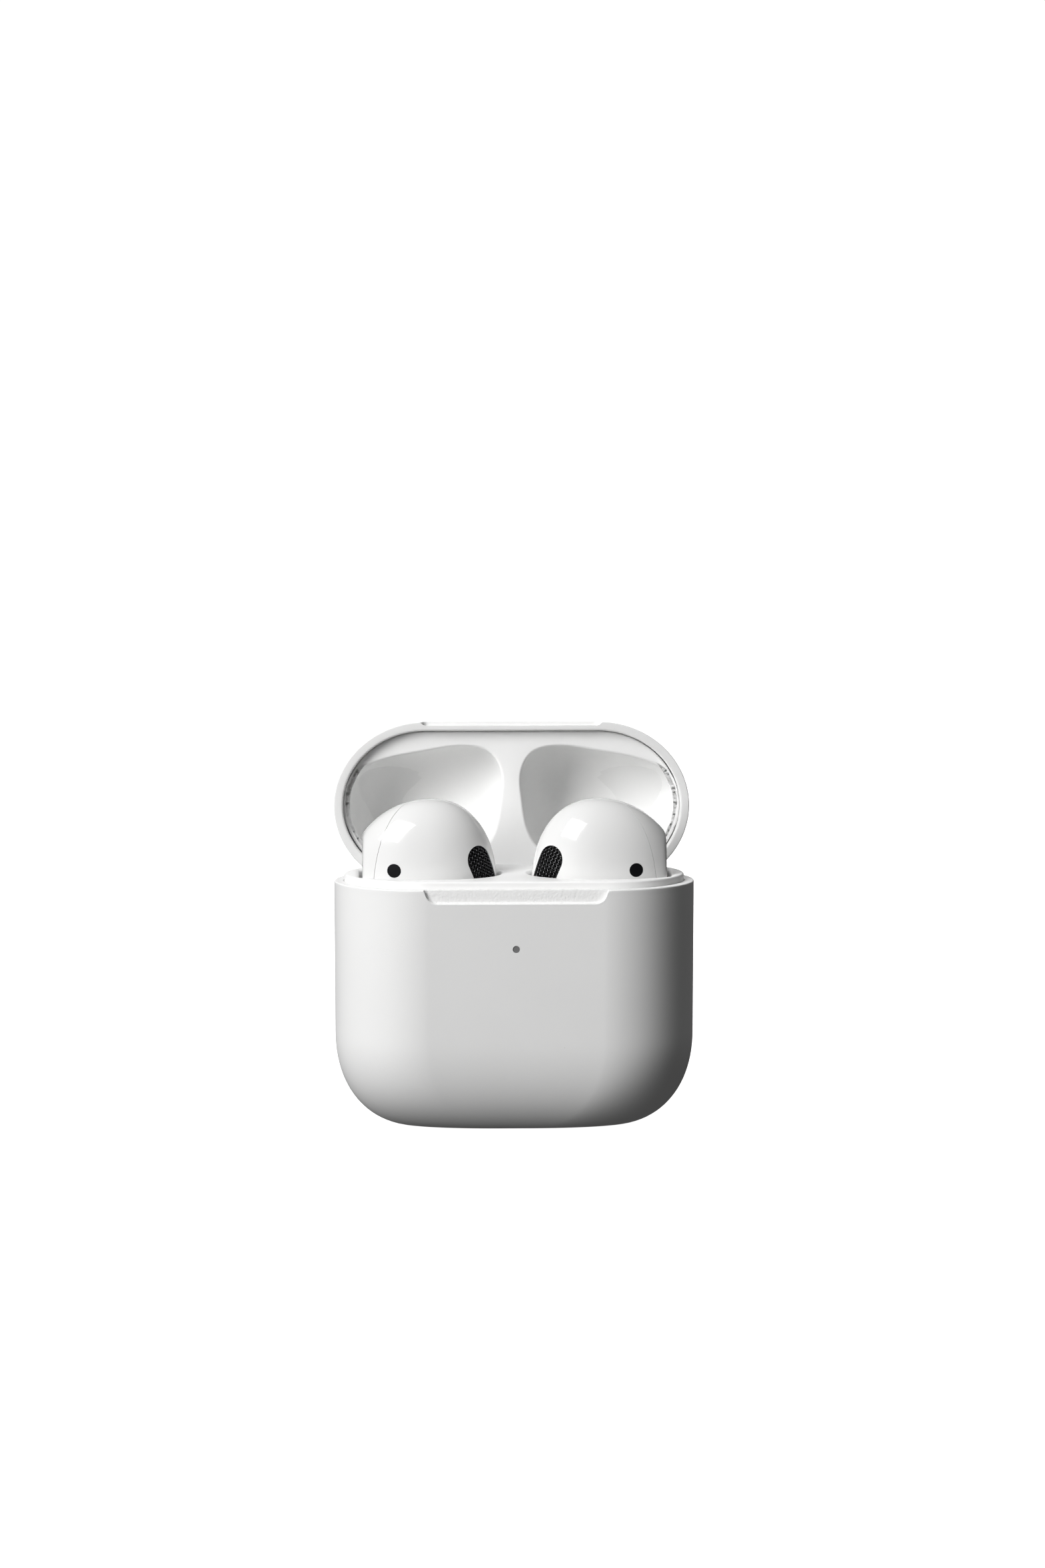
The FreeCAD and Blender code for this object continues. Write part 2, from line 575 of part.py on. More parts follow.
def pin_carrier():
    """Block under one stem well, bored for two sprung charging pins; for +X."""
    block = Part.Face(bud_wire(WELL_FLOOR_Z, WELL_CLEARANCE + 0.6)).extrude(Vector(0, 0, -2.4))
    block = outer_face_cut(block, WELL_CLEARANCE + 0.6)
    cuts = []
    for side in (-1, 1):
        foot = Vector(STEM_X, side * CONTACT_PIN_Y, CARRIER_LOW)
        cuts.append(Part.makeCylinder(0.5, 4, foot))
        cuts.append(Part.makeCylinder(0.95, 1.75, Vector(foot.x, foot.y, CARRIER_LOW + 0.01)))
    return block.cut(cuts)


def charging_pin(side):
    """Plunger with the collar that keeps it in; for +X, at the seated height."""
    top = BUD_BOTTOM - 0.06
    foot = Vector(STEM_X, side * CONTACT_PIN_Y, CARRIER_LOW + 0.6)
    plunger = Part.makeCylinder(0.42, top - 0.25 - foot.z, foot)
    tip = Part.makeCone(0.42, 0.22, 0.25, Vector(foot.x, foot.y, top - 0.25))
    collar = Part.makeCylinder(0.62, 0.4, foot)
    return plunger.fuse([tip, collar]).removeSplitter()


def well_magnet():
    return box(7.4, 12.2, -2.4, 2.4, CELL_TOP + 0.05, CELL_TOP + 2.2)


def closing_magnet():
    """Behind the tray's front wall; pulls the lid shut."""
    front = -(HALF_D - TRAY_INSET - TRAY_WALL)
    low = DECK_TOP - DECK_THICK
    return box(-3.0, 3.0, front, front + 1.9, low - 3.6, low)


def setup_button():
    face_y = HALF_D - 0.12
    cap = rod(BUTTON_RADIUS, Vector(0, HALF_D - SHELL_WALL - 0.5, BUTTON_Z), Vector(0, face_y, BUTTON_Z))
    rim = [edge for edge in cap.Edges if edge.Closed and edge.CenterOfMass.y > face_y - 0.01]
    cap = cap.makeFillet(0.2, rim)
    flange = rod(BUTTON_RADIUS + 0.7, Vector(0, HALF_D - SHELL_WALL - 0.95, BUTTON_Z),
                 Vector(0, HALF_D - SHELL_WALL - 0.5, BUTTON_Z))
    nub = rod(0.8, Vector(0, SWITCH_TOP + BUTTON_TRAVEL + 0.06, BUTTON_Z), Vector(0, 10.0, BUTTON_Z))
    return cap.fuse([flange, nub])


SWITCH_TOP = 8.4


def button_switch():
    base = box(-1.6, 1.6, SWITCH_TOP - 1.3, SWITCH_TOP - 0.45, BUTTON_Z - 1.6, BUTTON_Z + 1.6)
    dome = Part.makeCone(1.25, 0.8, 0.45, Vector(0, SWITCH_TOP - 0.45, BUTTON_Z), Y_AXIS)
    return base.fuse(dome)


def button_board():
    return box(-3.2, 3.2, SWITCH_TOP - 1.9, SWITCH_TOP - 1.3, CELL_Z, BUTTON_Z + 2.6)


# ---- earbud pieces, for +X -----------------------------------------------------------
SPEAKER_WAY = Vector(-0.902, -0.431, 0)     # from the middle of the head to its speaker opening
HEAD_CENTER = Vector(HEAD_X, 0, 34.2)
GRILLE_START = Vector(6.25, 0, 35.3)
GRILLE_ANGLE = 240.0        # heading of the straight pull that opens the grille, from +X
GRILLE_NEAR = 1.0
GRILLE_FAR = 10.0
GRILLE_HALF_WIDTH = 2.05
GRILLE_HALF_LENGTH = 4.45
GRILLE_TILT = 22.0
SENSOR_X = 16.75
SENSOR_Z = 36.4
SENSOR_RADIUS = 0.95


def rear_region():
    """Everything behind and outside the parting plane, and the whole stem."""
    far = 60.0
    plane = Part.Face(Part.makePolygon([Vector(SEAM_SUM + far, -far, 0), Vector(SEAM_SUM + far, far, 0),
                                        Vector(SEAM_SUM - far, far, 0), Vector(SEAM_SUM + far, -far, 0)]))
    behind = plane.extrude(Vector(0, 0, 60))
    stem = box(0, 30, -10, 10, 0, 24.5)
    return behind.fuse(stem)


def grille_cutter(margin):
    """Slanted oblong bar that leaves the head at its speaker opening."""
    half_w = GRILLE_HALF_WIDTH + margin
    straight = GRILLE_HALF_LENGTH - GRILLE_HALF_WIDTH
    block = box(-half_w, half_w, GRILLE_NEAR, GRILLE_FAR, -straight, straight)
    for end in (-1, 1):
        block = block.fuse(Part.makeCylinder(half_w, GRILLE_FAR - GRILLE_NEAR,
                                             Vector(0, GRILLE_NEAR, end * straight), Y_AXIS))
    block.rotate(Vector(0, 0, 0), Y_AXIS, -GRILLE_TILT)
    block.rotate(Vector(0, 0, 0), Z_AXIS, GRILLE_ANGLE - 90)
    block.translate(GRILLE_START)
    return block.removeSplitter()


def sensor_cutter(radius):
    return rod(radius, Vector(SENSOR_X, -HALF_D, SENSOR_Z), Vector(SENSOR_X, -1, SENSOR_Z))


def earbud_pieces():
    """All pieces of the right earbud, by name."""
    outside = bud_form()
    inside = bud_form(-BUD_WALL)
    wall = outside.cut(inside)
    rear = rear_region()
    rear_shell = wall.common(rear)
    front_shell = wall.cut(rear)
    skin = outside.cut(bud_form(-0.5))
    grille = skin.common(grille_cutter(-0.03)).cut(rear)
    window = skin.common(sensor_cutter(SENSOR_RADIUS - 0.02)).cut(rear)
    front_shell = front_shell.cut([grille_cutter(0.0), sensor_cutter(SENSOR_RADIUS)])

    floor = box(STEM_X - 4, STEM_X + 4, -0.28, 0.28, BUD_BOTTOM, BUD_BOTTOM + 2)
    end_zone = box(0, 30, -10, 10, BUD_BOTTOM - 1, BUD_BOTTOM + CONTACT_HEIGHT)
    end_cap = rear_shell.common(end_zone)
    rear_shell = rear_shell.cut(end_zone)
    plus = end_cap.common(box(0, 30, 0.3, 10, 0, 20))
    minus = end_cap.common(box(0, 30, -10, -0.3, 0, 20))
    spacer = end_cap.common(box(0, 30, -0.28, 0.28, 0, 20)).fuse(floor.common(inside))
    spacer = spacer.cut(box(STEM_X - 1.2, STEM_X + 1.2, -0.25, 0.25, 0, BUD_BOTTOM + 0.3))
    mesh = box(STEM_X - 1.18, STEM_X + 1.18, -0.23, 0.23, BUD_BOTTOM + 0.06, BUD_BOTTOM + 0.3)

    def disc(radius, near, far):
        return rod(radius, HEAD_CENTER + SPEAKER_WAY * near, HEAD_CENTER + SPEAKER_WAY * far)

    driver = disc(4.7, 1.4, 3.6).fuse(disc(3.4, 3.6, 4.6))
    cell = disc(4.4, -3.4, 1.1)
    board = box(STEM_X - 1.5, STEM_X + 1.5, -0.3, 0.3, BUD_BOTTOM + 2.2, 31.0)
    magnet = box(STEM_X - 1.3, STEM_X + 1.3, 0.4, 1.5, BUD_BOTTOM + 3.0, BUD_BOTTOM + 7.0)
    return {
        "front_shell": front_shell,
        "rear_shell": rear_shell,
        "speaker_grille": grille,
        "sensor_window": window,
        "speaker_driver": driver,
        "cell": cell,
        "circuit_board": board,
        "stem_magnet": magnet,
        "plus_contact": plus,
        "minus_contact": minus,
        "contact_spacer": spacer,
        "microphone_mesh": mesh,
    }


def main():
    save("outer_shell", outer_shell())
    save("inner_tray", inner_tray())
    save("hinge_bracket", hinge_bracket())
    save("hinge_pin", hinge_pin())
    save("hinge_screws", hinge_screws())
    save("status_light_guide", status_light_guide())
    save("status_light_board", status_light_board())
    save("charging_port_shell", port_shell())
    save("charging_port_tongue", port_tongue())
    save("main_board", main_board())
    save("chassis", chassis())
    save("battery_cell", battery_cell())
    save("closing_magnet", closing_magnet())
    save("setup_button", setup_button())
    save("button_switch", button_switch())
    save("button_board", button_board())
    save("lid_shell", opened(lid_shell()))
    save("lid_liner", opened(lid_liner()))
    save("lid_hinge_arm", opened(lid_hinge_arm()))
    save("lid_magnet", opened(lid_magnet()))
    pieces = earbud_pieces()
    for side, place in (("right", lambda shape: shape), ("left", mirrored)):
        save(f"{side}_pin_carrier", place(pin_carrier()))
        save(f"{side}_front_charging_pin", place(charging_pin(-1)))
        save(f"{side}_rear_charging_pin", place(charging_pin(1)))
        save(f"{side}_well_magnet", place(well_magnet()))
        for name, shape in pieces.items():
            save(f"{side}_earbud_{name}", place(shape))


main()
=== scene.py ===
import math

import bmesh
import bpy
import numpy as np
from mathutils import Matrix, Vector
from mathutils.bvhtree import BVHTree


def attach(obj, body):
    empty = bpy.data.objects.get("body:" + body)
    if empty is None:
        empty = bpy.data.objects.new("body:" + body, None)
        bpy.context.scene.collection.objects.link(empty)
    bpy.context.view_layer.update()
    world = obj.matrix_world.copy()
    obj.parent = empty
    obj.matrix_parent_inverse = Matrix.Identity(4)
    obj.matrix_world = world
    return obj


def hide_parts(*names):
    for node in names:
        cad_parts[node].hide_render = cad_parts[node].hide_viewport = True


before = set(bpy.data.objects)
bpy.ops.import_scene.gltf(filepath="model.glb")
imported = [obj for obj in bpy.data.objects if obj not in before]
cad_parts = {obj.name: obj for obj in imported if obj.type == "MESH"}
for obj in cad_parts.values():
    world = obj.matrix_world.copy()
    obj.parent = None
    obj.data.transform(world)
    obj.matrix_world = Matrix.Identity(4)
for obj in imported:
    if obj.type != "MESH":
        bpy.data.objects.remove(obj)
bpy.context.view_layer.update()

MM = 0.001

# The case stands on z = 0 with its front to -Y. Fine skins take the place of the shells, tray and
# liner of the design; every other piece is shown as designed.

# ---- driving dimensions, in millimetres, the same as the CAD's ----
HALF_W = 25.0
HALF_D = 11.8
END = 12.9
DRAFT = 0.1
RIM_Z = 34.35
BASE_HALF_LENGTH = 13.4
BASE_HALF_DEPTH = 3.4
BASE_ROUND_Z = 13.4
ROUND_POWER = 2.2
SHELL_WALL = 1.3
SEAM_GAP = 0.25
LID_HEIGHT = 12.85
LIP_HEIGHT = 1.0
LINER_RECESS = 1.35
LID_BASE_Z = RIM_Z + SEAM_GAP
LID_TOP_Z = RIM_Z + LID_HEIGHT
LID_ROUND_Z = 11.3
LID_WALL = 1.1
LID_LIP = 1.3             # the lid's rim is a little thicker than its wall
TRAY_INSET = 1.4
SKIRT_WALL = 0.5
SKIRT_HEIGHT = 7.0
TRAY_TOP = RIM_Z + LIP_HEIGHT
LINER_FACE_Z = LID_BASE_Z + LINER_RECESS
AXIS_Y = 10.8
AXIS_Z = 32.45
OPEN_ANGLE = 93.0
NOTCH_HALF = 12.6
NOTCH_DEPTH = 1.85
NOTCH_ROUND = 1.75
LID_NOTCH_HEIGHT = 0.9
NOTCH_INSET = 0.55
NOTCH_FILLET = 0.22
LIGHT_Z = RIM_Z - 8.2
LIGHT_RADIUS = 0.5
BUTTON_Z = 17.0
BUTTON_RADIUS = 2.7
BUTTON_GAP = 0.3
PORT_HALF_LENGTH = 4.55
PORT_HALF_WIDTH = 1.68
KNUCKLE_END = 7.5
KNUCKLE_GAP = 0.3
HINGE_GAP_DROP = 1.2      # opening in the shell's back, below the axis
HINGE_GAP_DEPTH = 2.4
HINGE_ROOM = (7.9, 9.2, 31.17)   # half length, front and foot of the tray's room for the hinge
OVERCUT = 2.0             # a cutter passes this far beyond the face it opens
THROUGH = 3.0             # and this far in, through a wall

BUD_TOP = 45.7
BUD_BOTTOM = 15.2
BUD_OUTER = 21.1
BUD_WIDEST_Z = 33.0
BUD_HEAD_FOOT = 21.0
HEAD_X = 11.7
HEAD_IN = 9.35
HEAD_OUT = 12.0
HEAD_HALF_DEPTH = 7.1
HEAD_POWER = 2.25
STEM_MID_X = 18.4
STEM_IN = 2.8
STEM_OUT = 3.6
STEM_HALF_DEPTH = 3.0
SEAM_SUM = 14.3
WELL_CLEARANCE = 0.45
WELL_WALL = 0.8
WELL_FLOOR_Z = BUD_BOTTOM - 0.6
CONTACT_TOP_Z = BUD_BOTTOM + 1.0
NECK_LOW_POWER = 1.6      # how softly the head leaves the stem
NECK_HIGH_POWER = 2.2     # and how softly it reaches its widest
STEM_END_ROUND = 0.8      # height of the soft end of the stem
STEM_END_SHRINK = 0.16

# ---- softened edges, in millimetres ----
RIM_EASE = 0.16           # outer edge of the body's rim
BACK_EASE = 0.3           # added to it along the back, where the lid rolls
INNER_RIM_EASE = 0.1
LID_EASE = 0.14
LID_INNER_EASE = 0.35
LIP_EASE = 0.28
WELL_EASE = 0.55
POCKET_EASE = 0.45
LINER_EASE = 0.3
LINER_GAP = 0.12          # between the liner's face and the lid's rim
LINER_TOUCH = 0.015       # the same where the liner meets the rim, at the ends
SLIVER = 0.02             # keeps neighbouring rings apart


# ---- mesh helpers ----
def add_object(name, verts, faces, smooth_angle=40.0):
    """A mesh object from points in millimetres."""
    mesh = bpy.data.meshes.new(name)
    mesh.from_pydata([(x * MM, y * MM, z * MM) for x, y, z in verts], [], faces)
    mesh.validate()
    obj = bpy.data.objects.new(name, mesh)
    bpy.context.scene.collection.objects.link(obj)
    shade(obj, smooth_angle)
    return obj


def shade(obj, smooth_angle=40.0):
    """Smooth shading with edges sharper than the angle kept crisp."""
    obj.data.polygons.foreach_set("use_smooth", [True] * len(obj.data.polygons))
    obj.data.set_sharp_from_angle(angle=math.radians(smooth_angle))


def clean(obj, merge=0.0005):
    """Weld points that fall together and turn every face outwards."""
    bm = bmesh.new()
    bm.from_mesh(obj.data)
    bmesh.ops.remove_doubles(bm, verts=bm.verts, dist=merge * MM)
    bmesh.ops.dissolve_degenerate(bm, edges=bm.edges, dist=merge * MM)
    bmesh.ops.recalc_face_normals(bm, faces=bm.faces)
    bm.to_mesh(obj.data)
    bm.free()


def rings_mesh(name, rings, cap_start=False, cap_end=False, smooth_angle=40.0):
    """Skin a list of closed rings that all have the same number of points."""
    count = len(rings[0])
    verts = [point for ring in rings for point in ring]
    faces = []
    for row in range(len(rings) - 1):
        base, up = row * count, (row + 1) * count
        for i in range(count):
            j = (i + 1) % count
            faces.append((base + i, base + j, up + j, up + i))
    for wanted, ring_index in ((cap_start, 0), (cap_end, len(rings) - 1)):
        if wanted:
            ring = np.array(rings[ring_index])
            verts.append(tuple(ring.mean(0)))
            tip = len(verts) - 1
            base = ring_index * count
            faces += [(base + i, base + (i + 1) % count, tip) for i in range(count)]
    obj = add_object(name, verts, faces, smooth_angle)
    clean(obj)
    shade(obj, smooth_angle)
    return obj


def cut(obj, cutter):
    """Subtract a cutter and throw it away."""
    modifier = obj.modifiers.new("cut", "BOOLEAN")
    modifier.operation = "DIFFERENCE"
    modifier.solver = "EXACT"
    modifier.object = cutter
    apply_modifiers(obj)
    bpy.data.objects.remove(cutter)


def apply_modifiers(obj):
    bpy.context.view_layer.update()
    graph = bpy.context.evaluated_depsgraph_get()
    mesh = bpy.data.meshes.new_from_object(obj.evaluated_get(graph))
    obj.modifiers.clear()
    obj.data = mesh


def bar(name, start, end, radius, sides=64):
    """A round cutter between two points, in millimetres."""
    start, end = Vector(start), Vector(end)
    axis = (end - start).normalized()
    side = axis.orthogonal().normalized()
    other = axis.cross(side)
    rings = []
    for middle in (start, end):
        turns = [2 * math.pi * k / sides for k in range(sides)]
        rings.append([tuple(middle + (side * math.cos(t) + other * math.sin(t)) * radius) for t in turns])
    return rings_mesh(name, rings, True, True)


def block(name, low, high):
    """A box-shaped cutter between two corners, in millimetres."""
    verts = [(x, y, z) for x in (low[0], high[0]) for y in (low[1], high[1]) for z in (low[2], high[2])]
    faces = [(0, 1, 3, 2), (4, 6, 7, 5), (0, 4, 5, 1), (2, 3, 7, 6), (0, 2, 6, 4), (1, 5, 7, 3)]
    obj = add_object(name, verts, faces)
    clean(obj)
    return obj


def opened(obj):
    """Turn a piece made in the closed lid's place to the open rest position."""
    pivot = Vector((0, AXIS_Y * MM, AXIS_Z * MM))
    turn = Matrix.Rotation(math.radians(-OPEN_ANGLE), 4, "X")
    obj.data.transform(Matrix.Translation(pivot) @ turn @ Matrix.Translation(-pivot))
    obj.data.update()
    return obj


def smooth_min(a, b, reach):
    """The smaller of two values, with the corner between them rounded."""
    h = min(max(0.5 + 0.5 * (b - a) / reach, 0.0), 1.0)
    return b + (a - b) * h - reach * h * (1 - h)


# ---- plan outline ----
COARSE_TO = 10.0          # evenly spaced columns reach this far from the middle
COARSE_COUNT = 11
COLUMN_GAP = 0.15         # from the last straight column to the end oval
END_COUNT = 61            # columns round each end oval
LEAST_TURN = 0.0015       # radians between columns
NOTCH_COUNT = 12
NOTCH_SNAP = 0.0005       # columns this close to the notch's end are outside it
LEAST_STRAIGHT = 0.2      # always left between the two end ovals


def notch_stations(ends):
    """Places along x where a notch's quarter-round ends need points."""
    inner = NOTCH_HALF - ends
    return [inner + ends * math.sin(a) for a in np.linspace(0, math.pi / 2, NOTCH_COUNT)]


def outline_columns():
    """Where the outline's points lie: ('front'|'back', x) or ('end', side, angle)."""
    straight = HALF_W - END
    stations = notch_stations(NOTCH_ROUND) + notch_stations(LID_NOTCH_HEIGHT)
    xs = list(np.linspace(0, COARSE_TO, COARSE_COUNT)) + [x for x in stations if x < straight - SLIVER]
    xs = sorted(set(round(x, 4) for x in xs + [straight - COLUMN_GAP]))
    front = [-x for x in reversed(xs[1:])] + xs
    turns = [math.asin((x - straight) / END) for x in stations if x > straight]
    turns = sorted(set(round(t, 4) for t in turns + list(np.linspace(0, math.pi, END_COUNT))))
    turns = [turns[0]] + [t for a, t in zip(turns, turns[1:]) if t - a > LEAST_TURN]
    columns = [("front", x) for x in front]
    columns += [("end", 1, t) for t in turns]
    columns += [("back", x) for x in reversed(front)]
    columns += [("end", -1, t) for t in reversed(turns)]
    return columns


COLUMNS = outline_columns()


def outline(half_w, half_d, end):
    """Points of the plan outline; end is the length of the half oval at each end."""
    straight = half_w - end
    ratio = straight / (HALF_W - END)
    points = []
    for column in COLUMNS:
        if column[0] == "end":
            side, turn = column[1], column[2]
            points.append((side * (straight + end * math.sin(turn)), -half_d * math.cos(turn)))
        else:
            way = -1 if column[0] == "front" else 1
            points.append((column[1] * ratio, way * half_d))
    return points


def inset_outline(inset, lean=0.0):
    """The plan outline made smaller all round; lean leaves the ends' length as it is."""
    return outline(HALF_W - inset - lean, HALF_D - inset - lean, END - inset)


def notch_profile(x, depth, ends):
    """Depth of a thumb notch at x: flat, with quarter-round ends."""
    x = abs(x)
    if x >= NOTCH_HALF - NOTCH_SNAP:
        return 0.0
    if x <= NOTCH_HALF - ends:
        return depth
    return depth - ends + ends * math.sqrt(max(1 - ((x - NOTCH_HALF + ends) / ends) ** 2, 0.0))


def superellipse_turn(angle):
    """Shares of the way across and along the soft curve at one angle of it."""
    across = 1 - max(math.cos(angle), 0.0) ** (2 / ROUND_POWER)
    along = 1 - math.sin(angle) ** (2 / ROUND_POWER)
    return across, along


def curved_rings(inset, flat_z, round_z, way, steps=26):
    """Rings over the soft curve, from the upright side to the flat."""
    half_w = HALF_W - inset - DRAFT
    half_d = HALF_D - inset - DRAFT
    end = END - inset
    rings = []
    for angle in np.linspace(0, math.pi / 2, steps):
        across, along = superellipse_turn(angle)
        w = half_w - (half_w - BASE_HALF_LENGTH) * across
        d = half_d - (half_d - BASE_HALF_DEPTH) * across
        z = flat_z - way * round_z * along
        rings.append([(x, y, z) for x, y in outline(w, d, min(end, w - LEAST_STRAIGHT))])
    return rings


def flat_rings(ring, shares=(0.92, 0.6, 0.25)):
    """Rings that close a flat towards its middle."""
    return [[(x * share, y * share, z) for x, y, z in ring] for share in shares]


# ---- body shell ----
SHOULDER_DROP = 3.2       # below the rim, where the upright columns of the rim begin
SIDE_COUNT = 11
RIM_SHARES = (0.3, 0.55, 0.75, 0.9)   # rings between the shoulder and the rim
ROOT_RINGS = ((0.02, 0.1), (0.05, 0.03), (0.12, 0.0))   # inset and drop up from the notch's floor
INNER_DROPS = (2.6, 6, 12, 18)
INNER_STEPS = 14
BACK_FADE = (0.8, 0.2)    # where round the ends the back's easing starts to fade, and over how much


def back_share(column):
    """1 along the straight back, fading out round the ends."""
    if column[0] == "back":
        return 1.0
    if column[0] == "front":
        return 0.0
    return min(max((-math.cos(column[2]) - BACK_FADE[0]) / BACK_FADE[1], 0.0), 1.0) ** 2


def quarter(steps):
    """Shares inwards and down, round a quarter circle."""
    return [(1 - math.cos(a), 1 - math.sin(a)) for a in np.linspace(0, math.pi / 2, steps)]


def notch_depths(depth, ends):
    """How deep the front notch is at every column of the outline."""
    return [notch_profile(x, depth, ends) if y < 0 else 0.0 for x, y in inset_outline(0.0)]


def varied_ring(insets, heights):
    """The outline with its own inset and height at every column."""
    return [(*inset_outline(inset)[k], z) for k, (inset, z) in enumerate(zip(insets, heights))]


def body_shell():
    """Outside, rim with its thumb notch, and inside of the body, as one closed skin."""
    base = curved_rings(0.0, 0.0, BASE_ROUND_Z, -1)
    rings = list(reversed(base + flat_rings(base[-1])))
    shoulder = RIM_Z - SHOULDER_DROP
    for z in np.linspace(BASE_ROUND_Z, shoulder, SIDE_COUNT)[1:]:
        lean = DRAFT * (RIM_Z - z) / (RIM_Z - BASE_ROUND_Z)
        rings.append([(x, y, z) for x, y in inset_outline(0.0, lean)])
    ease = [RIM_EASE + BACK_EASE * back_share(column) for column in COLUMNS]
    depths = notch_depths(NOTCH_DEPTH, NOTCH_ROUND)
    tops = [RIM_Z - depth for depth in depths]
    for share in RIM_SHARES:
        heights = [shoulder + (top - soft - shoulder) * share for top, soft in zip(tops, ease)]
        rings.append([(x, y, z) for (x, y), z in zip(inset_outline(0.0, DRAFT / 10), heights)])
    for inwards, down in quarter(6):
        heights = [top - soft * down for top, soft in zip(tops, ease)]
        rings.append(varied_ring([soft * inwards for soft in ease], heights))
    shares = [depth / NOTCH_DEPTH for depth in depths]
    starts = [max(NOTCH_INSET - NOTCH_FILLET, soft + SLIVER) for soft in ease]
    for inwards, down in quarter(6):
        insets = [NOTCH_INSET - (NOTCH_INSET - start) * down for start in starts]
        heights = [top + share * NOTCH_FILLET * inwards for top, share in zip(tops, shares)]
        rings.append(varied_ring(insets, heights))
    for extra, drop in ROOT_RINGS:
        points = inset_outline(NOTCH_INSET + extra)
        rings.append([(x, y, RIM_Z - share * drop) for (x, y), share in zip(points, shares)])
    for inwards, down in quarter(4):
        points = inset_outline(SHELL_WALL - INNER_RIM_EASE * down)
        rings.append([(x, y, RIM_Z - INNER_RIM_EASE * inwards) for x, y in points])
    for drop in INNER_DROPS:
        rings.append([(x, y, RIM_Z - drop) for x, y in inset_outline(SHELL_WALL, DRAFT / 2)])
    inner = curved_rings(SHELL_WALL, SHELL_WALL, BASE_ROUND_Z - SHELL_WALL, -1, INNER_STEPS)
    rings += inner + flat_rings(inner[-1], (0.5,))
    shell = rings_mesh("body_shell", rings, True, True, 30.0)
    for name, way, z, radius, sides in (("light_hole", -1, LIGHT_Z, LIGHT_RADIUS, 48),
                                        ("button_hole", 1, BUTTON_Z, BUTTON_RADIUS + BUTTON_GAP, 96)):
        ends = [(0, way * (HALF_D + reach), z) for reach in (-THROUGH, OVERCUT)]
        cut(shell, bar(name, *ends, radius, sides))
    cut(shell, port_cutter())
    gap_half = KNUCKLE_END + KNUCKLE_GAP
    cut(shell, block("hinge_gap", (-gap_half, HALF_D - HINGE_GAP_DEPTH, AXIS_Z - HINGE_GAP_DROP),
                     (gap_half, HALF_D + OVERCUT, RIM_Z + OVERCUT)))
    shade(shell, 30.0)
    return shell


def port_cutter():
    """Round-ended slot in the underside."""
    straight = PORT_HALF_LENGTH - PORT_HALF_WIDTH
    ring = []
    for side, first in ((1, -90), (-1, 90)):
        for a in np.linspace(first, first + 180, 17):
            turn = math.radians(a)
            ring.append((side * straight + PORT_HALF_WIDTH * math.cos(turn), PORT_HALF_WIDTH * math.sin(turn)))
    return rings_mesh("port_cutter", [[(x, y, z) for x, y in ring] for z in (-OVERCUT, THROUGH)], True, True)


# ---- earbud form ----
def bud_section(z, grow):
    """Fullest place, reach inwards, reach outwards and half depth of an earbud at one height."""
    if z <= BUD_WIDEST_Z:
        rise = min(max((z - BUD_HEAD_FOOT) / (BUD_WIDEST_Z - BUD_HEAD_FOOT), 0.0), 1.0)
        swell = 1 - (1 - rise ** NECK_LOW_POWER) ** NECK_HIGH_POWER
        mix = [a + (b - a) * swell for a, b in ((STEM_MID_X, HEAD_X), (STEM_IN, HEAD_IN), (STEM_OUT, HEAD_OUT),
                                                (STEM_HALF_DEPTH, HEAD_HALF_DEPTH))]
        return mix[0], mix[1] + grow, mix[2] + grow, mix[3] + grow
    rise = min((z - BUD_WIDEST_Z) / (BUD_TOP + grow - BUD_WIDEST_Z), 1.0)
    dome = math.sqrt(max(1 - rise ** 2, 0.0))
    inner_dome = max(1 - rise ** HEAD_POWER, 0.0) ** (1 / HEAD_POWER)
    return HEAD_X, (HEAD_IN + grow) * inner_dome, (HEAD_OUT + grow) * dome, (HEAD_HALF_DEPTH + grow) * dome


FACE_EDGE = 0.5           # rounding of the edge round the stem's flat outer face
FACE_SHARES = (0.0, 0.3, 0.55, 0.72, 0.82, 0.89, 0.94, 0.98, 1.02, 1.06, 1.11, 1.18, 1.28, 1.42)
LEAST_CORNER = 0.22       # radians kept for those columns where the face is narrow
FACE_SHRINK = 2.0         # how fast the face moves in where the stem's end is rounded
ROUND_COUNT = 43
END_LEVELS = (0, 0.12, 0.35, 0.7, 1.2)
STEM_FIRST = 2.2
STEM_STEP = 1.2
LAST_STEP_GAP = 0.5
NECK_LEVELS = 22
DOME_LEVELS = 44
DOME_FIRST = 0.04         # radians above the widest level
DOME_LAST = 0.02          # and short of the top


def bud_ring(z, grow=0.0, shrink=1.0):
    """One level of an earbud, for +X: an egg whose outer end is cut by a flat face."""
    middle, reach_in, reach_out, depth = bud_section(z, grow)
    reach_in, reach_out, depth = reach_in * shrink, reach_out * shrink, depth * shrink
    face = BUD_OUTER + grow - (1 - shrink) * FACE_SHRINK
    corner = LEAST_CORNER
    if reach_out > face - middle:
        corner = max(corner, math.acos((face - middle) / reach_out))
    turns = [corner * share for share in FACE_SHARES]
    turns += list(turns[-1] + (math.pi - turns[-1]) * np.linspace(0, 1, ROUND_COUNT)[1:])
    half = []
    for turn in turns:
        reach = reach_out if turn < math.pi / 2 else reach_in
        x = middle + reach * math.cos(turn)
        half.append((smooth_min(x, face, FACE_EDGE), depth * math.sin(turn)))
    front = [(x, -y) for x, y in half]
    back = [(x, y) for x, y in reversed(half[1:-1])]
    return [(x, y, z) for x, y in front + back]


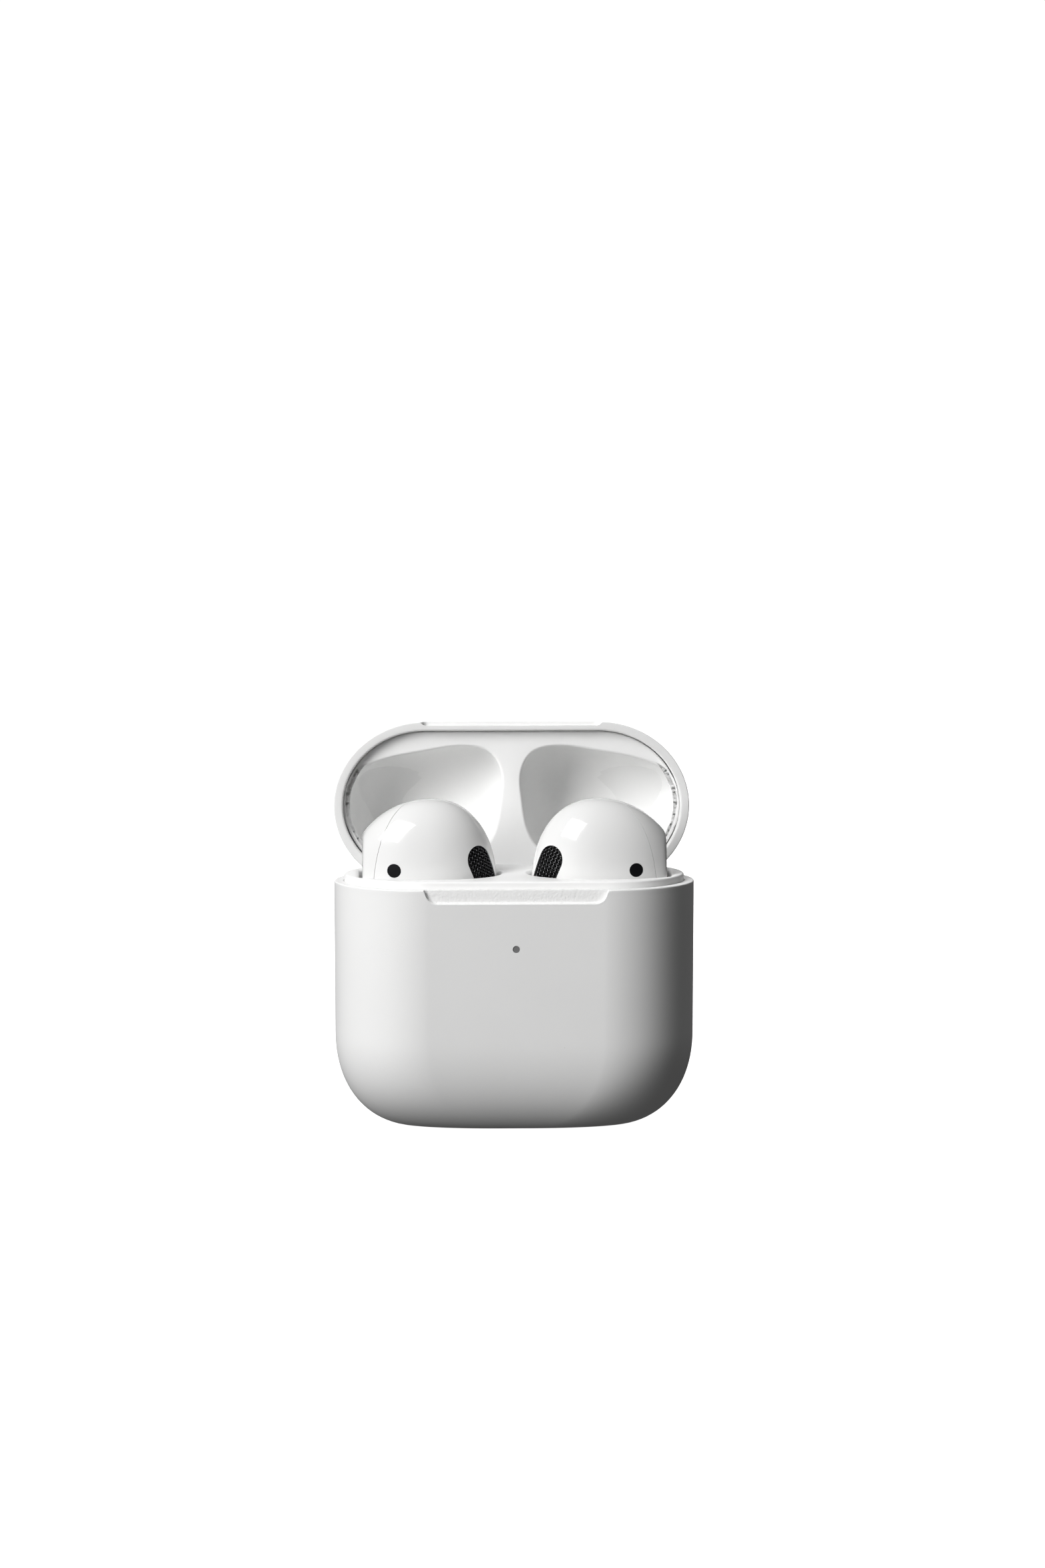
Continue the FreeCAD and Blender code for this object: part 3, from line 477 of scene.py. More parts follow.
def bud_levels(low, high):
    """Heights of an earbud's rings, closest where it curves most."""
    levels = [low + rise for rise in END_LEVELS]
    levels += list(np.arange(low + STEM_FIRST, BUD_HEAD_FOOT - LAST_STEP_GAP, STEM_STEP))
    levels += list(np.linspace(BUD_HEAD_FOOT, BUD_WIDEST_Z, NECK_LEVELS))
    turns = np.linspace(DOME_FIRST, math.pi / 2 - DOME_LAST, DOME_LEVELS)
    return levels + [BUD_WIDEST_Z + (high - BUD_WIDEST_Z) * math.sin(a) for a in turns]


def bud_body(name):
    """The earbud's whole outer form."""
    rings = []
    for z in bud_levels(BUD_BOTTOM, BUD_TOP):
        below = max(BUD_BOTTOM + STEM_END_ROUND - z, 0.0) / STEM_END_ROUND
        rings.append(bud_ring(z, 0.0, 1 - STEM_END_SHRINK * below ** ROUND_POWER))
    return rings_mesh(name, rings, True, True, 60.0)


def keep_half(obj, test):
    """Delete the faces whose middle fails the test, in millimetres."""
    bm = bmesh.new()
    bm.from_mesh(obj.data)
    gone = [f for f in bm.faces if not test(*[c / MM for c in f.calc_center_median()])]
    bmesh.ops.delete(bm, geom=gone, context="FACES")
    bm.to_mesh(obj.data)
    bm.free()


def slice_mesh(obj, point, normal):
    """Add an edge loop where a plane crosses the mesh."""
    bm = bmesh.new()
    bm.from_mesh(obj.data)
    bmesh.ops.bisect_plane(bm, geom=bm.verts[:] + bm.edges[:] + bm.faces[:], dist=1e-8,
                           plane_co=Vector(point) * MM, plane_no=Vector(normal))
    bm.to_mesh(obj.data)
    bm.free()


def thicken(obj, wall):
    """Give an open skin a wall on its inner side."""
    modifier = obj.modifiers.new("wall", "SOLIDIFY")
    modifier.thickness = wall * MM
    modifier.offset = -1
    apply_modifiers(obj)


GRILLE_START = Vector((6.25, 0, 35.3))
GRILLE_WAY = Vector((-0.5, -0.8660254, 0))
GRILLE_HALF_W = 2.05
GRILLE_HALF_L = 4.45
GRILLE_TILT = math.radians(22)
GRILLE_NEAR = 1.0
GRILLE_FAR = 10.0
BACKING_MARGIN = 0.05
BACKING_DEPTH = 0.32      # below the head's surface
BACKING_THICK = 0.12
SENSOR_X = 16.75
SENSOR_Z = 36.4
SENSOR_RADIUS = 0.95
SENSOR_REACH = (-14, -2)  # along y, through the head's front
LENS_RADIUS = 0.925
LENS_SIDES = 48
LENS_THICK = 0.3
OUTSIDE = 30.0            # a ray starts this far out
PATCH_MIDDLE = 0.04       # smallest ring of a patch, as a share of its edge
WIRE_PITCH = 0.42
WIRE_RADIUS = 0.085
WIRE_SIDES = 5
WIRE_DEPTH = 0.16         # wires lie this far below the head's surface
WEAVE = 0.05
WIRE_FAMILY = 16          # wires either side of the middle one
WIRE_REACH = 7.5


def grille_axes():
    """Across and along directions of the slanted grille."""
    across = GRILLE_WAY.cross(Vector((0, 0, 1))).normalized()
    tilt = Matrix.Rotation(-GRILLE_TILT, 3, GRILLE_WAY)
    return tilt @ across, tilt @ Vector((0, 0, 1))


def oblong_ring(half_w, half_l, count=64):
    """Points round an oblong with round ends."""
    straight = half_l - half_w
    points = []
    for side, first in ((1, 0), (-1, math.pi)):
        for a in np.linspace(first, first + math.pi, count // 2):
            points.append((half_w * math.cos(a), side * straight + half_w * math.sin(a)))
    return points


def grille_cutter():
    """Slanted oblong bar that leaves the head at its speaker opening."""
    across, along = grille_axes()
    ring = oblong_ring(GRILLE_HALF_W, GRILLE_HALF_L)
    rings = [[tuple(GRILLE_START + GRILLE_WAY * reach + across * u + along * v) for u, v in ring]
             for reach in (GRILLE_NEAR, GRILLE_FAR)]
    return rings_mesh("grille_cutter", rings, True, True)


class Skin:
    """Finds points and normals on an earbud's outside."""

    def __init__(self, obj):
        graph = bpy.context.evaluated_depsgraph_get()
        self.tree = BVHTree.FromObject(obj, graph)

    def hit(self, start, way):
        """Where a ray from outside first meets the skin, in millimetres."""
        place, normal, _, _ = self.tree.ray_cast(Vector(start) * MM, Vector(way))
        if place is None:
            return None, None
        return place / MM, normal


def conform_patch(name, skin, axes, outline_points, rows, lift):
    """A disc-like patch laid on the skin: rings from its edge to its middle."""
    origin, way, across, along = axes
    rings = []
    for share in np.linspace(1, PATCH_MIDDLE, rows):
        ring = []
        for u, v in outline_points:
            start = origin - way * OUTSIDE + across * u * share + along * v * share
            place, normal = skin.hit(start, way)
            if place is None:
                place, normal = origin, -way
            ring.append(tuple(place + normal * lift))
        rings.append(ring)
    return rings_mesh(name, rings, False, True, 60.0)


def wire_path(skin, family, n):
    """Places and normals along one wire of one of the two slanting families."""
    across, along = grille_axes()
    half_w, half_l = GRILLE_HALF_W - SLIVER, GRILLE_HALF_L - SLIVER
    slant = 1 / math.sqrt(2)
    way = (slant, slant if family == 0 else -slant)
    path = []
    for s in np.arange(-WIRE_REACH, WIRE_REACH, WIRE_PITCH / 4):
        u = way[0] * s - way[1] * n * WIRE_PITCH
        v = way[1] * s + way[0] * n * WIRE_PITCH
        if math.hypot(u, max(abs(v) - (half_l - half_w), 0.0)) >= half_w:
            continue
        place, normal = skin.hit(GRILLE_START + GRILLE_WAY * OUTSIDE + across * u + along * v, -GRILLE_WAY)
        if place is None:
            continue
        weave = WEAVE * math.cos(math.pi * s / WIRE_PITCH) * (1 if (n + family) % 2 else -1)
        path.append((place - normal * (WIRE_DEPTH - weave), normal))
    return path


def add_wire(verts, faces, path):
    """A thin bar along a path, closed at both ends."""
    base = len(verts)
    for i, (place, normal) in enumerate(path):
        tangent = (path[min(i + 1, len(path) - 1)][0] - path[max(i - 1, 0)][0]).normalized()
        flat = tangent.cross(normal).normalized()
        for k in range(WIRE_SIDES):
            turn = 2 * math.pi * k / WIRE_SIDES
            verts.append(tuple(place + (flat * math.cos(turn) + normal * math.sin(turn)) * WIRE_RADIUS))
    for i in range(len(path) - 1):
        row, up = base + i * WIRE_SIDES, base + (i + 1) * WIRE_SIDES
        for k in range(WIRE_SIDES):
            j = (k + 1) % WIRE_SIDES
            faces.append((row + k, row + j, up + j, up + k))
    last = base + (len(path) - 1) * WIRE_SIDES
    faces.append(tuple(base + k for k in reversed(range(WIRE_SIDES))))
    faces.append(tuple(last + k for k in range(WIRE_SIDES)))


def grille_wires(name, skin):
    """Woven wire cloth that follows the head: two families of thin wires over and under."""
    verts, faces = [], []
    for family in (0, 1):
        for n in range(-WIRE_FAMILY, WIRE_FAMILY + 1):
            path = wire_path(skin, family, n)
            if len(path) > 2:
                add_wire(verts, faces, path)
    return add_object(name, verts, faces, 80.0)


def flip_to_left(obj):
    """Mirror a piece to the other side of the case."""
    obj.data.transform(Matrix.Scale(-1, 4, (1, 0, 0)))
    bm = bmesh.new()
    bm.from_mesh(obj.data)
    bmesh.ops.reverse_faces(bm, faces=bm.faces)
    bm.to_mesh(obj.data)
    bm.free()
    return obj


SEAM_HALF_GAP = 0.03
SEAM_FOOT_Z = 24.5
BUD_WALL = 0.5


def bud_shell(whole, part):
    """The front or rear shell: one side of the parting plane, given a wall."""
    shell = whole.copy()
    shell.data = whole.data.copy()
    bpy.context.scene.collection.objects.link(shell)
    shift = -SEAM_HALF_GAP if part == "front" else SEAM_HALF_GAP
    seam = SEAM_SUM + shift * math.sqrt(2)
    foot = SEAM_FOOT_Z - shift
    end = CONTACT_TOP_Z + SLIVER
    slice_mesh(shell, (seam, 0, 30), Vector((1, 1, 0)).normalized())
    slice_mesh(shell, (0, 0, foot), (0, 0, 1))
    slice_mesh(shell, (0, 0, end), (0, 0, 1))
    if part == "front":
        keep_half(shell, lambda x, y, z: x + y < seam and z > foot)
    else:
        keep_half(shell, lambda x, y, z: (x + y > seam or z < foot) and z > end)
    thicken(shell, BUD_WALL)
    return shell


def earbud(side):
    """Front and rear shells, speaker mesh, its backing and the sensor window of one earbud."""
    whole = bud_body("whole")
    skin = Skin(whole)
    front = bud_shell(whole, "front")
    rear = bud_shell(whole, "rear")
    cut(front, grille_cutter())
    sensor_ends = [(SENSOR_X, y, SENSOR_Z) for y in SENSOR_REACH]
    cut(front, bar("sensor_cutter", *sensor_ends, SENSOR_RADIUS))
    across, along = grille_axes()
    oblong = oblong_ring(GRILLE_HALF_W + BACKING_MARGIN, GRILLE_HALF_L + BACKING_MARGIN)
    backing = conform_patch("backing", skin, (GRILLE_START, -GRILLE_WAY, across, along), oblong, 10,
                            -BACKING_DEPTH)
    thicken(backing, BACKING_THICK)
    turns = np.linspace(0, 2 * math.pi, LENS_SIDES + 1)[:-1]
    circle = [(LENS_RADIUS * math.cos(a), LENS_RADIUS * math.sin(a)) for a in turns]
    axes = (Vector((SENSOR_X, 0, SENSOR_Z)), Vector((0, 1, 0)), Vector((1, 0, 0)), Vector((0, 0, 1)))
    lens = conform_patch("lens", skin, axes, circle, 8, -SLIVER)
    thicken(lens, LENS_THICK)
    pieces = {"front_skin": front, "rear_skin": rear, "backing": backing, "lens": lens,
              "mesh_wires": grille_wires("wires", skin)}
    for name, obj in pieces.items():
        if side == "left":
            flip_to_left(obj)
        obj.name = f"{side}_earbud_{name}"
        shade(obj, 80.0 if name == "mesh_wires" else 50.0)
    bpy.data.objects.remove(whole)
    return pieces


# ---- tray and lid liner ----
BORDER_STRAIGHT = 60      # points along each straight side
BORDER_END = 720          # and round the end oval
BORDER_MIDDLE = 200       # and along x = 0


def half_border(ring, inset, z):
    """Where rays from a ring's middle through its points meet the right half of the outline."""
    w, d, end = HALF_W - inset, HALF_D - inset, END - inset
    straight = w - end
    border = [(x, -d) for x in np.linspace(0, straight, BORDER_STRAIGHT)]
    turns = np.linspace(0, math.pi, BORDER_END)[1:]
    border += [(straight + end * math.sin(t), -d * math.cos(t)) for t in turns]
    border += [(x, d) for x in np.linspace(straight, 0, BORDER_STRAIGHT)[1:]]
    border += [(0.0, y) for y in np.linspace(d, -d, BORDER_MIDDLE)[1:-1]]
    border = np.array(border) - (HEAD_X, 0.0)
    angles = np.arctan2(border[:, 1], border[:, 0])
    order = np.argsort(angles)
    radii = np.hypot(border[:, 0], border[:, 1])
    result = []
    for x, y, _ in ring:
        angle = math.atan2(y, x - HEAD_X)
        radius = np.interp(angle, angles[order], radii[order], period=2 * math.pi)
        result.append((max(HEAD_X + radius * math.cos(angle), 0.0), radius * math.sin(angle), z))
    for y in (-d, d):
        nearest = min(range(len(result)), key=lambda k: math.hypot(result[k][0], result[k][1] - y))
        result[nearest] = (0.0, y, z)
    return result


def mirrored_pair(name, rings, cap_start, cap_end, smooth_angle):
    """Skin rings for +X, add their mirror image and weld the two along x = 0."""
    right = rings_mesh(name, rings, cap_start, cap_end, smooth_angle)
    bm = bmesh.new()
    bm.from_mesh(right.data)
    walls = [f for f in bm.faces if all(abs(v.co.x) < 1e-7 for v in f.verts)]
    bmesh.ops.delete(bm, geom=walls, context="FACES")
    twin = bmesh.ops.duplicate(bm, geom=bm.verts[:] + bm.edges[:] + bm.faces[:])
    copied = [g for g in twin["geom"] if isinstance(g, bmesh.types.BMVert)]
    for v in copied:
        v.co.x = -v.co.x
    bmesh.ops.remove_doubles(bm, verts=[v for v in bm.verts if abs(v.co.x) < 1e-6], dist=1e-6)
    bmesh.ops.recalc_face_normals(bm, faces=bm.faces)
    bm.to_mesh(right.data)
    bm.free()
    shade(right, smooth_angle)
    return right


WELL_FOOT_RISES = (0.01, 1.5)   # rings above the well's floor
WELL_STEM_RISE = 3.0
WELL_STEM_LEVELS = 4
WELL_NECK_LEVELS = 16
UNDER_LEVELS = 10
LIP_RISES = (0.3, 0.0, -3, -SKIRT_HEIGHT)   # rings down the lip and skirt, from the rim
DECK_THICK = 2.0
LEAST_RIB = 0.3           # of the tray's underside either side of the middle


def tray():
    """The insert: a flat top with two wells, a standing lip and a skirt."""
    stem_z = WELL_FLOOR_Z + WELL_STEM_RISE
    levels = [WELL_FLOOR_Z + rise for rise in WELL_FOOT_RISES]
    levels += list(np.linspace(stem_z, BUD_HEAD_FOOT, WELL_STEM_LEVELS))
    levels += list(np.linspace(BUD_HEAD_FOOT, BUD_WIDEST_Z, WELL_NECK_LEVELS))[1:]
    rings = [bud_ring(z, WELL_CLEARANCE) for z in levels]
    rings.append([(x, y, TRAY_TOP - WELL_EASE) for x, y, _ in rings[-1]])
    for inwards, down in quarter(7)[1:]:
        grown = bud_ring(BUD_WIDEST_Z, WELL_CLEARANCE + WELL_EASE * inwards)
        rings.append([(x, y, TRAY_TOP - WELL_EASE * down) for x, y, _ in grown])
    rings.append(half_border(rings[-1], TRAY_INSET + LIP_EASE, TRAY_TOP))
    lip = rings[-1]
    for inwards, down in quarter(6)[1:]:
        rings.append(half_border(lip, TRAY_INSET + LIP_EASE * down, TRAY_TOP - LIP_EASE * inwards))
    for rise in LIP_RISES:
        rings.append(half_border(lip, TRAY_INSET, RIM_Z + rise))
    for z in (RIM_Z - SKIRT_HEIGHT, TRAY_TOP - DECK_THICK):
        rings.append(half_border(lip, TRAY_INSET + SKIRT_WALL, z))
    # underside: in to the outside of the well walls, then down them
    for z in list(np.linspace(BUD_WIDEST_Z, BUD_HEAD_FOOT, UNDER_LEVELS)) + [stem_z, WELL_FLOOR_Z]:
        rings.append([(max(x, LEAST_RIB), y, z) for x, y, _ in bud_ring(z, WELL_CLEARANCE + WELL_WALL)])
    rings.append(rings[0])
    body = mirrored_pair("tray_skin", rings, False, False, 35.0)
    room_half, room_front, room_foot = HINGE_ROOM
    cut(body, block("hinge_room", (-room_half, room_front, room_foot),
                    (room_half, HALF_D + OVERCUT, RIM_Z + THROUGH)))
    shade(body, 35.0)
    return body


POCKET_X = 11.75
POCKET_CORNERS = [(22.6, 1.5), (22.0, -4.2), (18.6, -6.2), (12.4, -7.5), (6.2, -8.25), (3.0, -7.3),
                  (1.45, -4.4), (1.6, -0.8), (3.0, 4.9), (6.6, 8.0), (12.0, 8.9), (18.8, 7.2)]
POCKET_TOP = BUD_TOP + 0.35
POCKET_FULLNESS = 0.5
POCKET_LEAN = 0.5
POCKET_TURNS = (89.5, 86, 82, 76, 70, 63, 56, 49, 42, 35, 28, 22, 16, 11, 7)
POCKET_POINTS = 240
BACK_TURNS = (7, 22, 42, 63, 82)      # rings of the liner's hidden back, degrees
BACK_WALL = 0.3
BACK_RISE = 0.4
BACK_RIB = 0.4            # of the liner's back either side of the middle
BACK_CLEAR = 0.05
LINER_THICK = 1.2
LINER_BORDER = 0.6        # flat ring kept inside the liner's eased edge
TOUCH_HALF = 3.1          # the liner touches the lid's rim this far either side of each end
TOUCH_FADE = 0.5


def periodic_spline(points, count):
    """A smooth closed curve through the points."""
    points = np.array(points + [points[0]], float)
    knots = np.concatenate([[0], np.cumsum(np.hypot(*np.diff(points, axis=0).T))])
    n = len(points) - 1
    step = np.diff(knots)
    matrix = np.zeros((n, n))
    right = np.zeros((n, 2))
    slope = np.diff(points, axis=0) / step[:, None]
    for i in range(n):
        before, after = step[i - 1], step[i]
        matrix[i, (i - 1) % n] += after
        matrix[i, i] += 2 * (before + after)
        matrix[i, (i + 1) % n] += before
        right[i] = 3 * (after * slope[i - 1] + before * slope[i])
    tangent = np.linalg.solve(matrix, right)
    tangent = np.vstack([tangent, tangent[0]])
    result = []
    for s in np.linspace(0, knots[-1], count, endpoint=False):
        i = min(int(np.searchsorted(knots, s, side="right")) - 1, n - 1)
        t = (s - knots[i]) / step[i]
        h = step[i]
        p = ((2 * t ** 3 - 3 * t ** 2 + 1) * points[i] + (t ** 3 - 2 * t ** 2 + t) * h * tangent[i]
             + (-2 * t ** 3 + 3 * t ** 2) * points[i + 1] + (t ** 3 - t ** 2) * h * tangent[i + 1])
        result.append((float(p[0]), float(p[1])))
    return result


POCKET_CURVE = periodic_spline(POCKET_CORNERS, POCKET_POINTS)


def pocket_ring(scale, grow, z, lean=0.0):
    """The pocket's outline, scaled about its middle and grown all round."""
    ring = []
    for x, y in POCKET_CURVE:
        arm = Vector((x - POCKET_X, y))
        arm *= scale * (arm.length + grow) / arm.length
        ring.append((POCKET_X + arm.x, arm.y - lean, z))
    return ring


def liner_border(mouth, extra, z):
    """The liner's outline: a fine gap to the lid's rim that closes up at the middle of each end."""
    wide = half_border(mouth, LID_LIP + LINER_GAP + extra, z)
    tight = half_border(mouth, LID_LIP + LINER_TOUCH + extra, z)
    ring = []
    for a, b in zip(wide, tight):
        share = min(max((TOUCH_HALF - abs(a[1])) / TOUCH_FADE, 0.0), 1.0) if a[0] > HEAD_X else 0.0
        ring.append(tuple(p + (q - p) * share for p, q in zip(a, b)))
    return ring


def pocket_dome(turn, grow, rise):
    """One ring of a pocket's dome; grow and rise make it larger."""
    z = LINER_FACE_Z + (POCKET_TOP + rise - LINER_FACE_Z) * math.sin(turn)
    return pocket_ring(math.cos(turn) ** POCKET_FULLNESS, grow, z, POCKET_LEAN * math.sin(turn))


def liner():
    """The lid's lining: a face with two pockets for the earbuds' heads."""
    rings = [pocket_dome(math.radians(degrees), 0.0, 0.0) for degrees in POCKET_TURNS]
    for inwards, down in quarter(8):
        rings.append(pocket_ring(1.0, POCKET_EASE * inwards, LINER_FACE_Z + POCKET_EASE * down))
    mouth = rings[-1]
    rings.append(liner_border(mouth, LINER_EASE + LINER_BORDER, LINER_FACE_Z))
    for inwards, down in quarter(6):
        rings.append(liner_border(mouth, LINER_EASE * down, LINER_FACE_Z + LINER_EASE * inwards))
    back_z = LINER_FACE_Z + LINER_THICK
    rings.append(liner_border(mouth, 0.0, back_z))
    rings.append(half_border(mouth, LID_WALL + LINER_THICK, back_z + SLIVER / 2))
    for degrees in BACK_TURNS:
        ring = pocket_dome(math.radians(degrees), BACK_WALL, BACK_RISE)
        rings.append([(max(x, BACK_RIB), y, max(z, back_z + BACK_CLEAR)) for x, y, z in ring])
    return opened(mirrored_pair("liner_skin", rings, True, True, 40.0))


# ---- lid shell ----
LID_SHARES = (0.75, 0.5, 0.25)
LID_STEPS = 14
RIM_BACK_RISES = (1.3, 1.35)   # rings behind the rim, above the liner's face


def lid():
    """Outside, rim and inside of the lid, as one closed skin."""
    crown = curved_rings(0.0, LID_TOP_Z, LID_ROUND_Z, 1)
    rings = list(reversed(crown + flat_rings(crown[-1])))
    turn_z = LID_TOP_Z - LID_ROUND_Z
    depths = notch_depths(LID_NOTCH_HEIGHT, LID_NOTCH_HEIGHT)
    low = [LID_BASE_Z + depth for depth in depths]
    for share in LID_SHARES:
        points = inset_outline(0.0, DRAFT * share)
        rings.append([(x, y, z + LID_EASE + (turn_z - z - LID_EASE) * share) for (x, y), z in zip(points, low)])
    for inwards, down in quarter(5):
        points = inset_outline(LID_EASE * inwards)
        rings.append([(x, y, z + LID_EASE * down) for (x, y), z in zip(points, low)])
    start = LID_EASE + SLIVER / 2
    for margin, heights in ((0.0, low), (SLIVER, [LID_BASE_Z] * len(low))):
        insets = [start + margin + (NOTCH_INSET - LID_EASE) * depth / LID_NOTCH_HEIGHT for depth in depths]
        rings.append(varied_ring(insets, heights))
    for inwards, down in quarter(6):
        points = inset_outline(LID_LIP - LID_INNER_EASE * down)
        rings.append([(x, y, LID_BASE_Z + LID_INNER_EASE * inwards) for x, y in points])
    step, wall = (LINER_FACE_Z + rise for rise in RIM_BACK_RISES)
    rings.append([(x, y, step) for x, y in inset_outline(LID_LIP)])
    rings.append([(x, y, wall) for x, y in inset_outline(LID_WALL, 0.7 * DRAFT)])
    inner = curved_rings(LID_WALL, LID_TOP_Z - LID_WALL, LID_ROUND_Z - LID_WALL, 1, LID_STEPS)
    rings += inner + flat_rings(inner[-1], (0.5,))
    return opened(rings_mesh("lid_skin", rings, True, True, 30.0))


# ---- materials ----
MOTTLE_SCALE = 90.0
SPECK_SCALE = 1500.0
SPECK_LIMITS = (0.83, 0.86)
UNEVEN_SCALE = 220.0
GRAIN_DISTANCE = 0.00004
NOTCH_GRAIN_SCALE = 3000.0
NOTCH_GRAIN_DISTANCE = 0.00006
NOTCH_GRAIN_EDGE = (0.25, 1.0, 0.1)   # y from, y to and z below the notch, in from the outside
COAT_ROUGHNESS = 0.03
PLASTIC_IOR = 1.52
METAL_SCALE = 1500.0
METAL_TINT = (0.85, 1.1)
METAL_ROUGHNESS = (0.7, 1.4)
METAL_DISTANCE = 0.00002


def new_material(name):
    material = bpy.data.materials.new(name)
    material.use_nodes = True
    nodes = material.node_tree.nodes
    return material, nodes, material.node_tree.links, nodes["Principled BSDF"]


def noise(nodes, links, scale, detail=4.0, rough=0.5):
    """Noise fixed to the object's own coordinates."""
    place = nodes.new("ShaderNodeTexCoord")
    node = nodes.new("ShaderNodeTexNoise")
    node.inputs["Scale"].default_value = scale
    node.inputs["Detail"].default_value = detail
    node.inputs["Roughness"].default_value = rough
    links.new(place.outputs["Object"], node.inputs["Vector"])
    return node


def ramp(nodes, links, source, low, high, low_at=0.3, high_at=0.7):
    node = nodes.new("ShaderNodeValToRGB")
    node.color_ramp.elements[0].position = low_at
    node.color_ramp.elements[1].position = high_at
    node.color_ramp.elements[0].color = (*low, 1)
    node.color_ramp.elements[1].color = (*high, 1)
    links.new(source, node.inputs["Fac"])
    return node


def coarse_bump(nodes, links, fine_bump):
    """A coarser eroded grain, only inside the thumb notch of the body."""
    place = nodes.new("ShaderNodeTexCoord")
    axes = nodes.new("ShaderNodeSeparateXYZ")
    links.new(place.outputs["Object"], axes.inputs["Vector"])
    front, back, below = NOTCH_GRAIN_EDGE
    limits = (("X", "GREATER_THAN", -NOTCH_HALF), ("X", "LESS_THAN", NOTCH_HALF),
              ("Y", "LESS_THAN", -HALF_D + back), ("Y", "GREATER_THAN", -HALF_D + front),
              ("Z", "GREATER_THAN", RIM_Z - NOTCH_DEPTH - below))
    mask = None
    for axis, operation, limit in limits:
        test = nodes.new("ShaderNodeMath")
        test.operation = operation
        test.inputs[1].default_value = limit * MM
        links.new(axes.outputs[axis], test.inputs[0])
        if mask is None:
            mask = test
            continue
        both = nodes.new("ShaderNodeMath")
        both.operation = "MULTIPLY"
        links.new(mask.outputs[0], both.inputs[0])
        links.new(test.outputs[0], both.inputs[1])
        mask = both
    grain = noise(nodes, links, NOTCH_GRAIN_SCALE, 2.0)
    coarse = nodes.new("ShaderNodeBump")
    coarse.inputs["Distance"].default_value = NOTCH_GRAIN_DISTANCE
    links.new(mask.outputs[0], coarse.inputs["Strength"])
    links.new(grain.outputs["Fac"], coarse.inputs["Height"])
    links.new(coarse.outputs["Normal"], fine_bump.inputs["Normal"])


def varied_roughness(nodes, links, shader, source, low, high):
    """Roughness that wanders between two values."""
    band = nodes.new("ShaderNodeMapRange")
    band.inputs["To Min"].default_value = low
    band.inputs["To Max"].default_value = high
    links.new(source, band.inputs["Value"])
    links.new(band.outputs["Result"], shader.inputs["Roughness"])


def bumped(nodes, links, shader, source, strength, distance):
    bump = nodes.new("ShaderNodeBump")
    bump.inputs["Strength"].default_value = strength
    bump.inputs["Distance"].default_value = distance
    links.new(source, bump.inputs["Height"])
    links.new(bump.outputs["Normal"], shader.inputs["Normal"])
    return bump


def moulded(name, color, spread, roughness, rough_spread, grain_scale, grain_depth,
            coat=0.0, specks=0.0, shine=0.5, recess=False):
    """Moulded plastic: faint mottling, a fine grain and, where asked, a few dust specks."""
    material, nodes, links, shader = new_material(name)
    mottle = noise(nodes, links, MOTTLE_SCALE, 5.0)
    low = [max(c - spread, 0) for c in color]
    high = [min(c + spread, 1) for c in color]
    tint = ramp(nodes, links, mottle.outputs["Fac"], low, high)
    color_out = tint.outputs["Color"]
    if specks:
        fine = noise(nodes, links, SPECK_SCALE, 1.0, 0.3)
        mask = ramp(nodes, links, fine.outputs["Fac"], (0, 0, 0), (1, 1, 1), *SPECK_LIMITS)
        mix = nodes.new("ShaderNodeMix")
        mix.data_type = "RGBA"
        mix.inputs[7].default_value = (*[c * (1 - specks) for c in color], 1)
        links.new(mask.outputs["Color"], mix.inputs[0])
        links.new(color_out, mix.inputs[6])
        color_out = mix.outputs[2]
    links.new(color_out, shader.inputs["Base Color"])
    uneven = noise(nodes, links, UNEVEN_SCALE, 3.0)
    varied_roughness(nodes, links, shader, uneven.outputs["Fac"],
                     roughness - rough_spread, roughness + rough_spread)
    grain = noise(nodes, links, grain_scale, 3.0, 0.6)
    bump = bumped(nodes, links, shader, grain.outputs["Fac"], grain_depth, GRAIN_DISTANCE)
    if recess:
        coarse_bump(nodes, links, bump)
    if coat:
        shader.inputs["Coat Weight"].default_value = coat
        shader.inputs["Coat Roughness"].default_value = COAT_ROUGHNESS
    shader.inputs["IOR"].default_value = PLASTIC_IOR
    shader.inputs["Specular IOR Level"].default_value = shine
    return material


def metal(name, color, roughness, stretch=(1, 1, 1), scratch=0.25):
    """Metal with a brushed or tumbled finish."""
    material, nodes, links, shader = new_material(name)
    shader.inputs["Metallic"].default_value = 1.0
    place = nodes.new("ShaderNodeTexCoord")
    mapping = nodes.new("ShaderNodeMapping")
    mapping.inputs["Scale"].default_value = stretch
    lines = nodes.new("ShaderNodeTexNoise")
    lines.inputs["Scale"].default_value = METAL_SCALE
    lines.inputs["Detail"].default_value = 4.0
    links.new(place.outputs["Object"], mapping.inputs["Vector"])
    links.new(mapping.outputs["Vector"], lines.inputs["Vector"])
    low, high = METAL_TINT
    tint = ramp(nodes, links, lines.outputs["Fac"], [c * low for c in color], [min(c * high, 1) for c in color])
    links.new(tint.outputs["Color"], shader.inputs["Base Color"])
    low, high = METAL_ROUGHNESS
    varied_roughness(nodes, links, shader, lines.outputs["Fac"], roughness * low, roughness * high)
    bumped(nodes, links, shader, lines.outputs["Fac"], scratch, METAL_DISTANCE)
    return material


